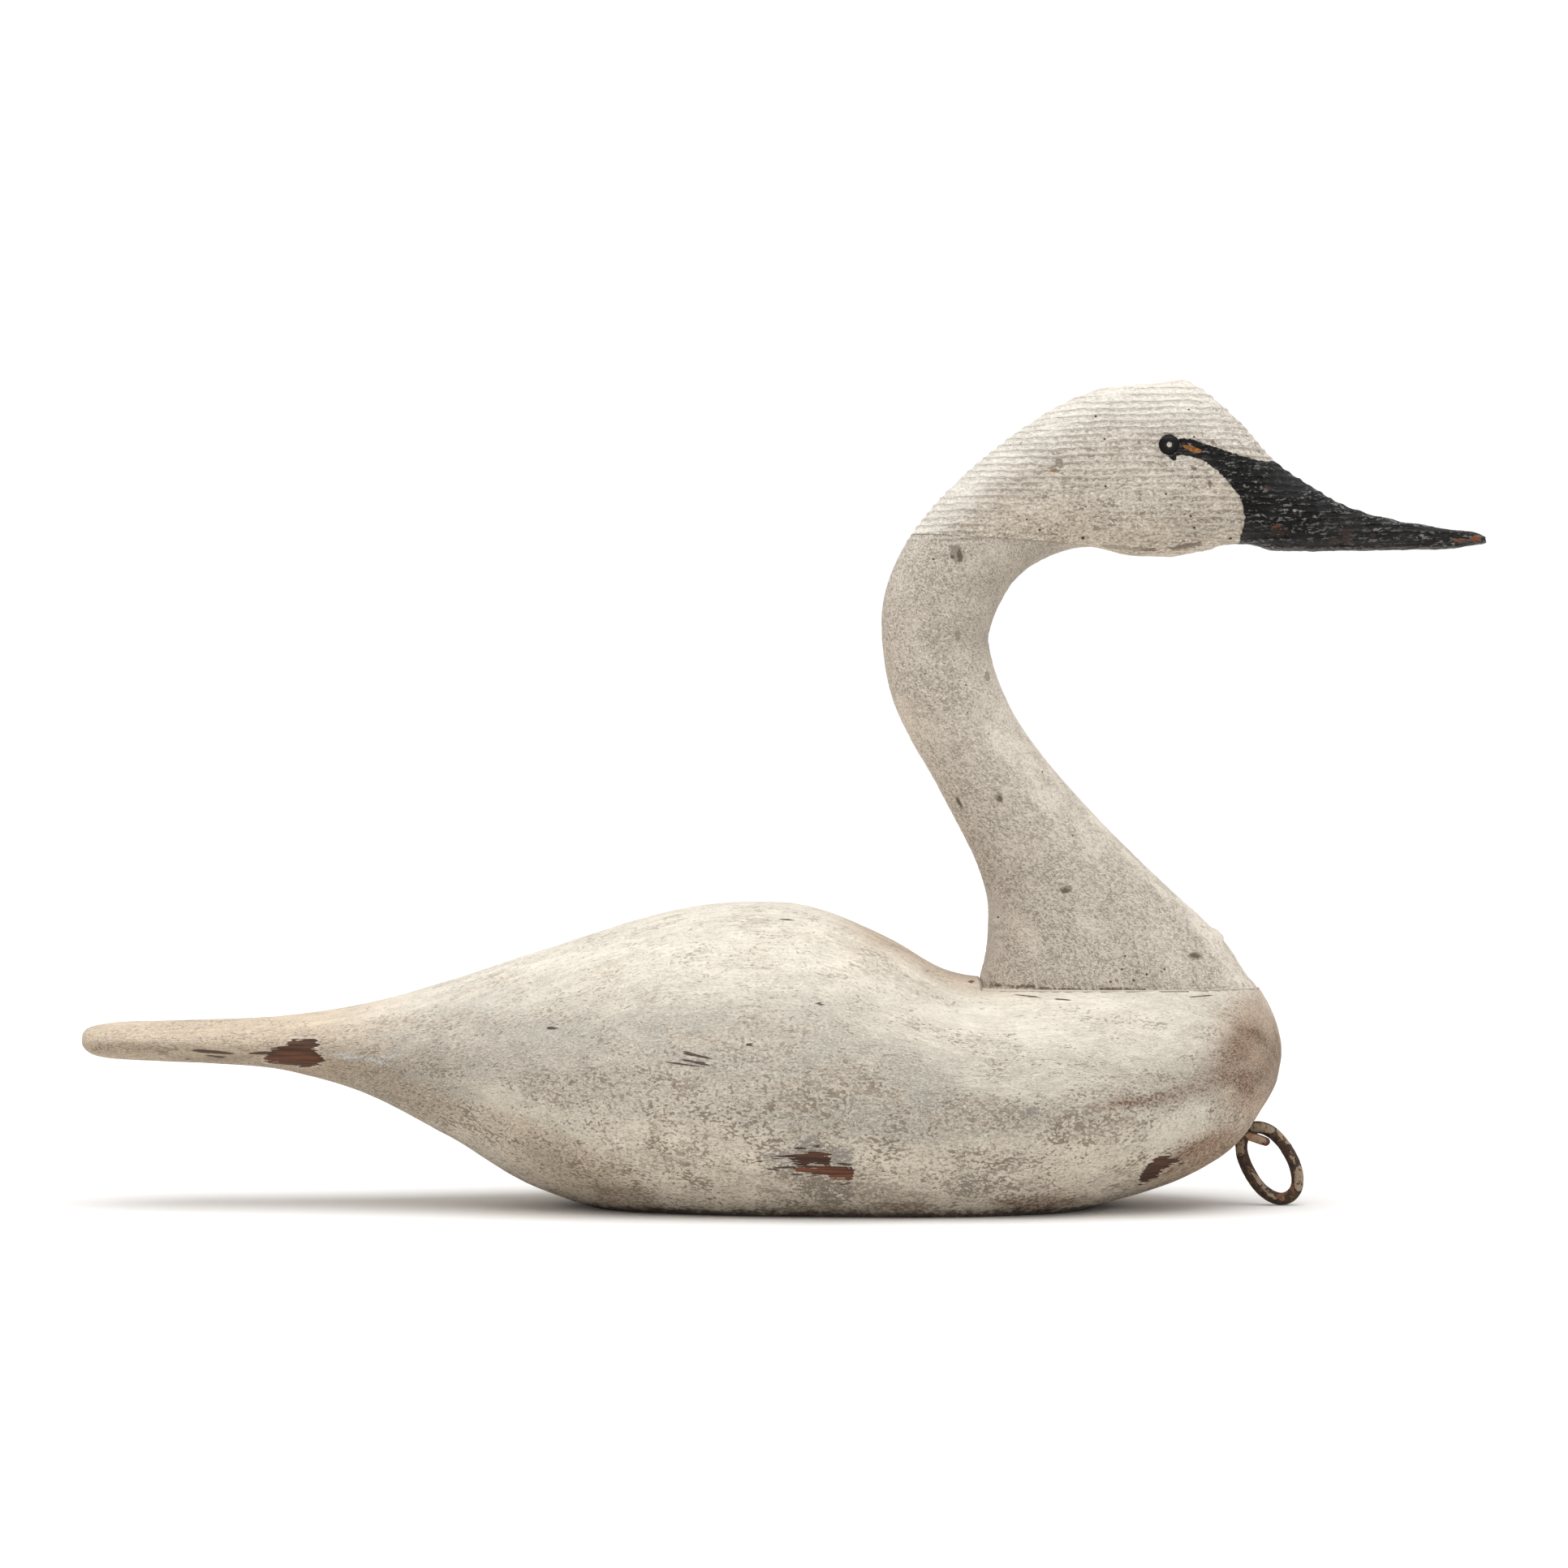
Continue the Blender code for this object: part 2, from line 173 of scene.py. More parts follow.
neckSections = [
    (119.5, 122, 291, 121, 49, 0.50, 2.3), (120.4, 134.5, 291.0, 134.5, 47.6, 0.50, 2.3),
    (121, 142, 284.8, 142, 47, 0.50, 2.3), (123.8, 153, 275.3, 157, 45, 0.50, 2.35),
    (125.3, 165, 264, 170.3, 43, 0.50, 2.4), (125.5, 187.5, 237.3, 195, 38, 0.50, 2.5),
    (119, 210.5, 209.5, 221.5, 33.5, 0.50, 2.5), (107, 235, 185, 247, 30.5, 0.50, 2.5),
    (93, 261.5, 163, 272, 29, 0.50, 2.5), (78, 287.5, 144.5, 297.5, 28, 0.50, 2.5),
    (66.5, 313.5, 133, 320.5, 28, 0.50, 2.5), (61.2, 341, 127, 340, 28, 0.50, 2.5),
    (60.5, 365, 126, 350, 28, 0.50, 2.5), (65.5, 388, 128.3, 360.5, 28, 0.50, 2.5),
    (77.5, 411, 133.5, 372, 28, 0.50, 2.5), (98, 436.5, 141, 384, 28.5, 0.50, 2.5),
    (124.5, 461, 153, 394.3, 30, 0.50, 2.5), (158, 485.3, 170, 402.3, 31.5, 0.48, 2.6),
    (188, 500.3, 189, 405.7, 32.5, 0.48, 2.7), (216, 505.3, 212, 400.7, 33, 0.47, 2.8),
    (233, 506, 229, 399.8, 33, 0.47, 2.8), (246, 507.4, 242, 400.6, 32.8, 0.47, 2.8),
    (257, 502, 253, 402.3, 32.2, 0.47, 2.75), (270, 491.2, 267, 406, 30.3, 0.46, 2.7),
    (283, 478.7, 281.5, 408.1, 27, 0.45, 2.6), (302, 457.6, 302.5, 404.2, 21, 0.44, 2.5),
    (323, 443, 323, 403.6, 17.5, 0.44, 2.4), (347, 429.6, 347, 403.6, 15.5, 0.45, 2.3),
    (377, 421.2, 377, 404, 14.5, 0.47, 2.2), (407, 416.3, 407, 405.2, 13, 0.50, 2.2),
    (424, 413.8, 424, 406.8, 9.5, 0.50, 2.2), (431.3, 411.6, 431.3, 408.4, 4.5, 0.50, 2.2),
]


def blendSections(sections, spacing):                    # sections between the stated ones, and their places
    rows = np.array(sections, float)
    topRun = np.hypot(np.diff(rows[:, 0]), np.diff(rows[:, 1]))
    lowRun = np.hypot(np.diff(rows[:, 2]), np.diff(rows[:, 3]))
    reach = np.concatenate(([0.0], np.cumsum(np.maximum(topRun, lowRun)))) * mm
    slopes = []
    for here in range(len(rows)):
        first = max(here - 1, 0)
        last = min(here + 1, len(rows) - 1)
        slopes.append((rows[last] - rows[first]) / (reach[last] - reach[first]))
    blended = []
    places = []
    for here in range(len(rows) - 1):
        span = reach[here + 1] - reach[here]
        steps = max(1, round(span / spacing))
        for t in np.arange(steps) / steps:
            rise = t * t * (3 - 2 * t)
            start = slopes[here] * span * t * (1 - t) ** 2
            end = slopes[here + 1] * span * (1 - t) * t * t
            blended.append(rows[here] * (1 - rise) + rows[here + 1] * rise + start - end)
            places.append(reach[here] + span * t)
    return blended + [rows[-1]], places + [reach[-1]]


def sectionLoop(section, sides):                         # one rounded section of evenly spaced points
    topX, topZ, lowX, lowZ, halfWidth, widest, squareness = section
    angle = np.linspace(0, 2 * np.pi, sides * 8 + 1)
    power = 2 / squareness
    across = np.sign(np.cos(angle)) * np.abs(np.cos(angle)) ** power * halfWidth
    along = np.sign(np.sin(angle)) * np.abs(np.sin(angle)) ** power
    share = np.where(along > 0, widest + along * (1 - widest), widest + along * widest)
    points = np.stack((lowX + (topX - lowX) * share, across, lowZ + (topZ - lowZ) * share), 1) * mm
    tall = math.hypot(topX - lowX, topZ - lowZ) * mm
    points = np.column_stack((points, (share - 0.5) * tall, share * 2 - 1))
    run = np.concatenate(([0.0], np.cumsum(np.linalg.norm(np.diff(points[:, :3], axis=0), axis=1))))
    even = np.linspace(0, run[-1], sides + 1)[:-1]
    return np.stack([np.interp(even, run, column) for column in points.T], 1)


def makeLoft(name, sections, spacing, sides):            # a closed carving, with its own flow coordinates
    rows, places = blendSections(sections, spacing)
    loops = [sectionLoop(row, sides) for row in rows]
    capShares = (0.72, 0.45, 0.2)
    first = [loops[0].mean(0) + (loops[0] - loops[0].mean(0)) * share for share in reversed(capShares)]
    last = [loops[-1].mean(0) + (loops[-1] - loops[-1].mean(0)) * share for share in capShares]
    places = [places[0]] * len(first) + places + [places[-1]] * len(last)
    loops = first + loops + last
    grid = np.stack(loops)
    count = len(loops)
    flow = np.stack((grid[..., 3], grid[..., 1], np.repeat(np.array(places)[:, None], sides, 1)), -1)
    poles = [grid[0].mean(0), grid[-1].mean(0)]
    points = np.concatenate((grid[..., :3].reshape(-1, 3), [pole[:3] for pole in poles]))
    flow = np.concatenate((flow.reshape(-1, 3),
                           [[pole[3], 0, places[end]] for pole, end in zip(poles, (0, -1))]))
    here = np.arange(sides)
    following = (here + 1) % sides
    quads = []
    for row in range(count - 1):
        base = row * sides
        quads.append(np.stack((base + here, base + following, base + sides + following, base + sides + here),
                              1))
    faces = np.concatenate(quads).tolist()
    lastBase = (count - 1) * sides
    pole = count * sides
    faces += [(int(b), int(a), pole) for a, b in zip(here, following)]
    faces += [(int(lastBase + a), int(lastBase + b), pole + 1) for a, b in zip(here, following)]
    mesh = bpy.data.meshes.new(name)
    mesh.from_pydata(points.tolist(), [], faces)
    form = bmesh.new()
    form.from_mesh(mesh)
    bmesh.ops.recalc_face_normals(form, faces=form.faces)
    form.to_mesh(mesh)
    form.free()
    keep = mesh.attributes.new("flow", "FLOAT_VECTOR", "POINT")
    keep.data.foreach_set("vector", flow.astype(np.float32).ravel())
    giveNumbers(mesh, "across", np.concatenate((grid[..., 4].ravel(), [0.0, 0.0])))
    return mesh, points


# How far inside a drawn outline the points lie, in mm: plus inside, minus outside and on the other side.
def outlineField(points, outline, side=0):
    x = points[:, 0] / mm
    z = points[:, 2] / mm
    best = np.full(len(points), 1e9)
    inside = np.zeros(len(points), bool)
    for (x0, z0), (x1, z1) in zip(outline, outline[1:] + outline[:1]):
        run = math.hypot(x1 - x0, z1 - z0)
        share = np.clip(((x - x0) * (x1 - x0) + (z - z0) * (z1 - z0)) / run ** 2, 0, 1)
        best = np.minimum(best, np.hypot(x - x0 - share * (x1 - x0), z - z0 - share * (z1 - z0)))
        if z0 != z1:
            crossing = (z0 > z) != (z1 > z)
            inside ^= crossing & (x < x0 + (x1 - x0) * (z - z0) / (z1 - z0))
    field = np.where(inside, best, -np.minimum(best, fieldReach))
    return np.where(points[:, 1] * side < -0.001, -fieldReach, field) if side else field


def smoothStep(value, low, high):
    share = np.clip((value - low) / (high - low), 0, 1)
    return share * share * (3 - 2 * share)


# Real dents and lumps: x, z, half length, half height, turn in degrees and height, in mm but for the turn.
def pressMarks(points, marks, side):
    height = np.zeros(len(points))
    mine = (points[:, 1] * side) > -0.002
    for x, z, halfLength, halfHeight, turn, rise in marks:
        angle = math.radians(turn)
        dx = points[:, 0] / mm - x
        dz = points[:, 2] / mm - z
        along = (dx * math.cos(angle) + dz * math.sin(angle)) / halfLength
        over = (dz * math.cos(angle) - dx * math.sin(angle)) / halfHeight
        height += mine * rise * mm * (1 - smoothStep(np.hypot(along, over), 0.55, 1.15))
    return height


# Marks as a field on the vertices: 1 at a mark's centre, 0 at its rim, less outside and on the other side.
def markNumbers(points, marks, side, before=None):
    field = np.full(len(points), markFloor) if before is None else before
    mine = (points[:, 1] * side) > -0.001
    for x, z, halfLength, halfHeight, turn in marks:
        angle = math.radians(turn)
        dx = points[:, 0] / mm - x
        dz = points[:, 2] / mm - z
        along = (dx * math.cos(angle) + dz * math.sin(angle)) / halfLength
        over = (dz * math.cos(angle) - dx * math.sin(angle)) / halfHeight
        field = np.where(mine, np.maximum(field, 1 - np.hypot(along, over)), field)
    return field


def giveNumbers(mesh, name, values):
    keep = mesh.attributes.new(name, "FLOAT", "POINT")
    keep.data.foreach_set("value", values.astype(np.float32))


# Added to these fields, so that a cut face, which gets 0 for all of them, has no mark.
fieldDepth = {"bare": fieldReach, "primer": fieldReach, "stain": -markFloor, "blue": -markFloor}


def giveField(mesh, name, values):
    giveNumbers(mesh, name, values + fieldDepth[name])


def show(name, mesh, keepShown=True):
    made = bpy.data.objects.new(name, mesh)
    bpy.context.scene.collection.objects.link(made)
    made.hide_render = not keepShown
    return made


def meshOf(form, name):
    mesh = bpy.data.meshes.new(name)
    form.to_mesh(mesh)
    form.free()
    return mesh


def boxCutter(name, low, high, turn=None):
    form = bmesh.new()
    bmesh.ops.create_cube(form, size=1)
    low, high = Vector(low), Vector(high)
    fit = Matrix.Translation((low + high) / 2) @ Matrix.Diagonal((*(high - low), 1))
    bmesh.ops.transform(form, matrix=(turn or Matrix.Identity(4)) @ fit, verts=form.verts)
    return show(name, meshOf(form, name), False)


def tubeCutter(name, route, radius, sides, closed):      # a plain tube along a flat route
    form = bmesh.new()
    rings = []
    count = len(route)
    for here, point in enumerate(route):
        before = route[here - 1] if here or closed else point
        after = route[(here + 1) % count] if here < count - 1 or closed else point
        ahead = (after - before).normalized()
        sideways = ahead.cross(Vector((0.31, 0.72, 0.62)) if abs(ahead.y) < 0.6 else Vector((0, 0,
                                                                                             1))).normalized()
        upwards = ahead.cross(sideways)
        ring = []
        for step in range(sides):
            angle = 2 * math.pi * step / sides
            outwards = sideways * math.cos(angle) + upwards * math.sin(angle)
            ring.append(form.verts.new(point + outwards * radius))
        rings.append(ring)
    for ring, following in zip(rings, rings[1:] + (rings[:1] if closed else [])):
        shift = min(range(sides),
                    key=lambda s: sum((ring[i].co - following[(i + s) % sides].co).length for i in (0, 3)))
        for step in range(sides):
            after = (step + 1) % sides
            form.faces.new((ring[step], ring[after], following[(after + shift) % sides],
                            following[(step + shift) % sides]))
    if not closed:
        form.faces.new(rings[0])
        form.faces.new(rings[-1])
    bmesh.ops.recalc_face_normals(form, faces=form.faces)
    return show(name, meshOf(form, name), False)


def takeAway(piece, *cutters):
    for cutter in cutters:
        modifier = piece.modifiers.new("cut by " + cutter.name, "BOOLEAN")
        modifier.operation = "DIFFERENCE"
        modifier.solver = "MANIFOLD"
        modifier.object = cutter


def settle(name, live, finish, sharpAngle):              # the finished shape as a plain mesh, no modifiers
    bpy.context.view_layer.update()
    graph = bpy.context.evaluated_depsgraph_get()
    mesh = bpy.data.meshes.new_from_object(live.evaluated_get(graph), preserve_all_data_layers=True,
                                           depsgraph=graph)
    mesh.name = name
    mesh.materials.clear()
    mesh.materials.append(finish)
    mesh.shade_smooth()
    if sharpAngle:
        mesh.set_sharp_from_angle(angle=math.radians(sharpAngle))
    cutters = [modifier.object for modifier in live.modifiers if modifier.type == "BOOLEAN"]
    for old in [live, *cutters]:
        bpy.data.objects.remove(old, do_unlink=True)
    piece = show(name, mesh)
    print(name, "has", sum(len(face.vertices) - 2 for face in mesh.polygons), "triangles")
    return piece


def addTree(piece, tree, **values):
    modifier = piece.modifiers.new(tree.name, "NODES")
    modifier.node_group = tree
    for item in tree.interface.items_tree:
        if item.item_type == "SOCKET" and item.in_out == "INPUT" and item.name in values:
            modifier[item.identifier] = values[item.name]
    return modifier


# The end of both geometry trees: the surface moved out by its height, made real and given its material.
def liftAndDress(plan, shape, height, finish, output):
    normal = plan.put("GeometryNodeInputNormal").outputs[0]
    offset = plan.put("ShaderNodeVectorMath", {0: normal, "Scale": height}, operation="SCALE").outputs[0]
    lifted = plan.put("GeometryNodeSetPosition", {"Geometry": shape, "Offset": offset}).outputs[0]
    whole = plan.put("GeometryNodeRealizeInstances", {0: lifted}).outputs[0]
    plan.feed(output, plan.put("GeometryNodeSetMaterial", {0: whole, "Material": finish}).outputs[0])


# Hand-carved relief over a loft: broad spokeshave flats, small bumps, raised grain and the pressed marks.
def carvedReliefTree():
    plan, inputs, outputs = newGroup("carved relief", "GeometryNodeTree", [
        ("Geometry", "NodeSocketGeometry", None),
        ("FlatDepth", "NodeSocketFloat", 0.0005),
        ("FlatSize", "NodeSocketFloat", 0.03),
        ("BumpHeight", "NodeSocketFloat", 0.0002),
        ("BumpSize", "NodeSocketFloat", 0.005),
        ("GrainHeight", "NodeSocketFloat", 0.0),
        ("GrainSpacing", "NodeSocketFloat", 0.0042),
        ("GrainWander", "NodeSocketFloat", 0.004),
        ("GrainBreaks", "NodeSocketFloat", 30.0),
        ("Seed", "NodeSocketInt", 1),
        ("Finish", "NodeSocketMaterial", None),
    ], [("Geometry", "NodeSocketGeometry")])
    place = plan.put("GeometryNodeInputPosition").outputs[0]
    shift = plan.join(inputs["Seed"], 0.0, 0.0)
    moved = plan.move("ADD", place, shift)
    flats = plan.noise(moved, plan.calc("DIVIDE", 1.0, inputs["FlatSize"]), 1.0, 0.4)
    bumps = plan.noise(moved, plan.calc("DIVIDE", 1.0, inputs["BumpSize"]), 2.0, 0.5)
    height = plan.times(plan.centred(flats), inputs["FlatDepth"])
    height = plan.scaled(plan.centred(bumps), inputs["BumpHeight"], height)
    grain = raisedGrain(plan, place, inputs["GrainSpacing"], inputs["GrainWander"], inputs["GrainBreaks"])[0]
    mask = plan.put("GeometryNodeInputNamedAttribute", {"Name": "grainShare"}, data_type="FLOAT").outputs[0]
    height = plan.scaled(plan.times(grain, mask), inputs["GrainHeight"], height)
    pressed = plan.put("GeometryNodeInputNamedAttribute", {"Name": "pressed"}, data_type="FLOAT").outputs[0]
    height = plan.calc("ADD", height, pressed)
    liftAndDress(plan, inputs["Geometry"], height, inputs["Finish"], outputs[0])
    return plan.tree


# Forged iron wire along a curve: a round bar whose thickness wanders, with rust pits and a hammered feel.
def forgedWireTree():
    plan, inputs, outputs = newGroup("forged wire", "GeometryNodeTree", [
        ("Geometry", "NodeSocketGeometry", None),
        ("Radius", "NodeSocketFloat", 0.0038),
        ("Step", "NodeSocketFloat", 0.0006),
        ("Sides", "NodeSocketInt", 36),
        ("Wander", "NodeSocketFloat", 0.0004),
        ("PitDepth", "NodeSocketFloat", 0.0003),
        ("PitSize", "NodeSocketFloat", 0.0022),
        ("Seed", "NodeSocketInt", 3),
        ("Finish", "NodeSocketMaterial", None),
    ], [("Geometry", "NodeSocketGeometry")])
    line = plan.put("GeometryNodeResampleCurve", {"Curve": inputs["Geometry"], "Length": inputs["Step"]},
                    mode="LENGTH")
    outline = plan.put("GeometryNodeCurvePrimitiveCircle",
                       {"Resolution": inputs["Sides"], "Radius": inputs["Radius"]})
    swept = plan.put("GeometryNodeCurveToMesh",
                     {0: line.outputs[0], 1: outline.outputs[0], "Fill Caps": True})
    welded = plan.put("GeometryNodeMergeByDistance",
                      {"Geometry": swept.outputs[0], "Distance": 0.00001}).outputs[0]
    place = plan.move("ADD", plan.put("GeometryNodeInputPosition").outputs[0],
                      plan.join(inputs["Seed"], 0.0, 0.0))
    broad = plan.centred(plan.noise(place, 110.0, 1.0))
    pits = plan.span(plan.noise(place, plan.calc("DIVIDE", 1.0, inputs["PitSize"]), 3.0, 0.6), 0.42, 0.3)
    height = plan.times(broad, inputs["Wander"])
    height = plan.calc("SUBTRACT", height, plan.times(pits, inputs["PitDepth"]))
    liftAndDress(plan, welded, height, inputs["Finish"], outputs[0])
    return plan.tree


carvedRelief = carvedReliefTree()
forgedWire = forgedWireTree()
print("geometry trees ready")


# One mark on a surface: a field that is 1 at its centre, 0 at its rim and below 0 outside.
def markSpotGroup():
    plan, inputs, outputs = newGroup("mark spot", "ShaderNodeTree", [
        ("Where", "NodeSocketVector", None),
        ("Centre", "NodeSocketVector", None),
        ("Turn", "NodeSocketVector", None),
        ("HalfSize", "NodeSocketVector", None),
    ], [("Field", "NodeSocketFloat")])
    sockets = {"Vector": inputs["Where"], "Location": inputs["Centre"]}
    sockets.update({"Rotation": inputs["Turn"], "Scale": inputs["HalfSize"]})
    local = plan.put("ShaderNodeMapping", sockets, vector_type="TEXTURE").outputs[0]
    plan.feed(outputs[0], plan.calc("SUBTRACT", 1.0, plan.move("LENGTH", local)))
    return plan.tree


# Brush streaks: long thin strokes along the first axis of the coordinates.
def brushStreaksGroup():
    plan, inputs, outputs = newGroup("brush streaks", "ShaderNodeTree", [
        ("Where", "NodeSocketVector", None),
        ("Pitch", "NodeSocketFloat", 500.0),
    ], [("Streaks", "NodeSocketFloat"), ("Scrapes", "NodeSocketFloat")])
    bend = plan.noise(inputs["Where"], 14.0, 1.0, 0.5, 0.0, True)
    offset = plan.move("MULTIPLY", plan.move("SUBTRACT", bend, (0.5, 0.5, 0.5)), (0.0, 0.006, 0.012))
    bent = plan.move("ADD", inputs["Where"], offset)
    long = plan.move("MULTIPLY", bent, (0.06, 1.0, 1.0))
    fine = plan.noise(long, inputs["Pitch"], 3.0, 0.65)
    coarse = plan.noise(long, plan.times(inputs["Pitch"], 0.3), 2.0, 0.5)
    plan.feed(outputs[0], plan.calc("ADD", plan.times(fine, 0.6), plan.times(coarse, 0.4)))
    plan.feed(outputs[1], plan.span(plan.noise(long, plan.times(inputs["Pitch"], 0.8), 4.0, 0.7), 0.58, 0.70))
    return plan.tree


# Flecks where the top coat has let go, closer together where the cover is high, with a paler rim: a painted
# highlight on the lifted edge.
def paintSpotsGroup():
    plan, inputs, outputs = newGroup("paint spots", "ShaderNodeTree", [
        ("Where", "NodeSocketVector", None),
        ("Size", "NodeSocketFloat", 0.002),
        ("Cover", "NodeSocketFloat", 0.3),
    ], [("Spots", "NodeSocketFloat"), ("Rim", "NodeSocketFloat")])
    scale = plan.calc("DIVIDE", 1.0, inputs["Size"])
    field = plan.noise(inputs["Where"], scale, 2.0, 0.5, 0.25)
    area = plan.centred(plan.noise(inputs["Where"], plan.times(scale, 0.13), 2.0, 0.5))
    value = plan.scaled(area, 0.30, plan.scaled(inputs["Cover"], 0.12, field))
    plan.feed(outputs[0], plan.span(value, 0.61, 0.66))
    plan.feed(outputs[1], plan.times(plan.span(value, 0.51, 0.56), plan.gate(value, 0.57, 0.61)))
    return plan.tree


# A thick coat of old paint close up: fine grains, hollows that hold dirt and give painted shade, crests that
# give a painted highlight, and a few deep pits.
def paintGrainGroup():
    plan, inputs, outputs = newGroup("paint grain", "ShaderNodeTree", [
        ("Where", "NodeSocketVector", None),
        ("Size", "NodeSocketFloat", 0.0015),
    ], [("Height", "NodeSocketFloat"), ("Hollow", "NodeSocketFloat"), ("Crest", "NodeSocketFloat"),
        ("Pits", "NodeSocketFloat")])
    scale = plan.calc("DIVIDE", 1.0, inputs["Size"])
    grains = plan.noise(inputs["Where"], scale, 2.5, 0.6, 0.4)
    plan.feed(outputs[0], plan.span(grains, 0.3, 0.7))
    plan.feed(outputs[1], plan.span(grains, 0.48, 0.37))
    plan.feed(outputs[2], plan.span(grains, 0.53, 0.62))
    plan.feed(outputs[3], plan.span(plan.noise(inputs["Where"], plan.times(scale, 0.6), 2.0, 0.5), 0.68,
                                    0.75))
    return plan.tree


# Old iron: brown rust, orange bloom and what is left of its paint.
def oldIronGroup():
    plan, inputs, outputs = newGroup("old iron", "ShaderNodeTree", [
        ("Where", "NodeSocketVector", None),
        ("PaintShare", "NodeSocketFloat", 0.4),
        ("Rust", "NodeSocketColor", (0.1, 0.06, 0.04, 1)),
        ("Bloom", "NodeSocketColor", (0.3, 0.12, 0.05, 1)),
        ("Paint", "NodeSocketColor", (0.4, 0.36, 0.3, 1)),
    ], [("Color", "NodeSocketColor"), ("Height", "NodeSocketFloat"), ("Roughness", "NodeSocketFloat")])
    base = plan.noise(inputs["Where"], 260.0, 4.0, 0.6)
    dark = plan.blend(plan.span(base, 0.35, 0.6), plan.blend(0.6, inputs["Rust"], (0.01, 0.008, 0.007, 1)),
                      inputs["Rust"])
    bloom = plan.span(plan.noise(inputs["Where"], 330.0, 3.0, 0.6, 0.6), 0.56, 0.66)
    rusted = plan.blend(bloom, dark, inputs["Bloom"])
    gate = plan.scaled(inputs["PaintShare"], -0.36, 0.74)
    flakes = plan.span(plan.noise(inputs["Where"], 330.0, 4.0, 0.75, 0.5), gate, plan.calc("ADD", gate, 0.05))
    plan.feed(outputs[0], plan.blend(flakes, rusted, inputs["Paint"]))
    grit = plan.noise(inputs["Where"], 900.0, 3.0, 0.6)
    plan.feed(outputs[1], plan.scaled(flakes, 0.8, grit))
    plan.feed(outputs[2], plan.scaled(flakes, -0.1, 0.82))
    return plan.tree


markSpot = markSpotGroup()
brushStreaks = brushStreaksGroup()
paintSpots = paintSpotsGroup()
paintGrain = paintGrainGroup()
oldIron = oldIronGroup()
print("shader groups ready")

solidTrees = {}


def surfaceY(node, x, z, side):                          # how far out a CAD solid's side is at x and z
    if node not in solidTrees:
        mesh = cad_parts[node].data
        corners = [vertex.co.copy() for vertex in mesh.vertices]
        solidTrees[node] = BVHTree.FromPolygons(corners, [tuple(face.vertices) for face in mesh.polygons])
    found = solidTrees[node].ray_cast(Vector((x, side * 0.5, z)), Vector((0, -side, 0)))[0]
    return found.y if found else 0.0


def newMaterial(name):
    made = bpy.data.materials.new(name)
    made.use_nodes = True
    plan = Plan(made.node_tree)
    return made, plan, made.node_tree.nodes["Principled BSDF"]


def useGroup(plan, tree, **values):
    made = plan.put("ShaderNodeGroup", node_tree=tree)
    for name, value in values.items():
        plan.feed(made.inputs[name], value)
    return made.outputs


def dress(plan, shader, colour, rough, relief, distance=mm, strength=1.0):
    bump = plan.put("ShaderNodeBump", {"Strength": strength, "Distance": distance, "Height": relief})
    plan.feed(shader.inputs["Base Color"], colour)
    plan.feed(shader.inputs["Roughness"], rough)
    plan.feed(shader.inputs["Normal"], bump.outputs[0])


def numbers(plan, name):                                 # what the mesh's vertices hold under this name
    return plan.put("ShaderNodeAttribute", attribute_name=name).outputs["Fac"]


def fieldOf(plan, name):
    return plan.calc("SUBTRACT", numbers(plan, name), fieldDepth[name])


# Marks are x, z, half length, half height and turn (degrees), in mm; the side finds how far out they lie.
def gatherMarks(plan, where, node, marks, side, field=None):
    for x, z, halfLength, halfHeight, turn in marks:
        out = surfaceY(node, x * mm, z * mm, side)
        depth = max(7.0, halfLength) * mm
        values = dict(Where=where, Centre=(x * mm, out, z * mm), Turn=(0, -math.radians(turn), 0))
        found = useGroup(plan, markSpot, HalfSize=(halfLength * mm, depth, halfHeight * mm), **values)[0]
        field = found if field is None else plan.most(field, found)
    return field


def raggedPlace(plan, where, stretch, amount):           # coordinates shaken by noise, for torn edges
    shaken = plan.pattern(where, stretch, 3.0, 0.6, 0.0, True)
    offset = plan.move("MULTIPLY", plan.move("SUBTRACT", shaken, (0.5, 0.5, 0.5)), amount)
    return plan.move("ADD", where, offset)


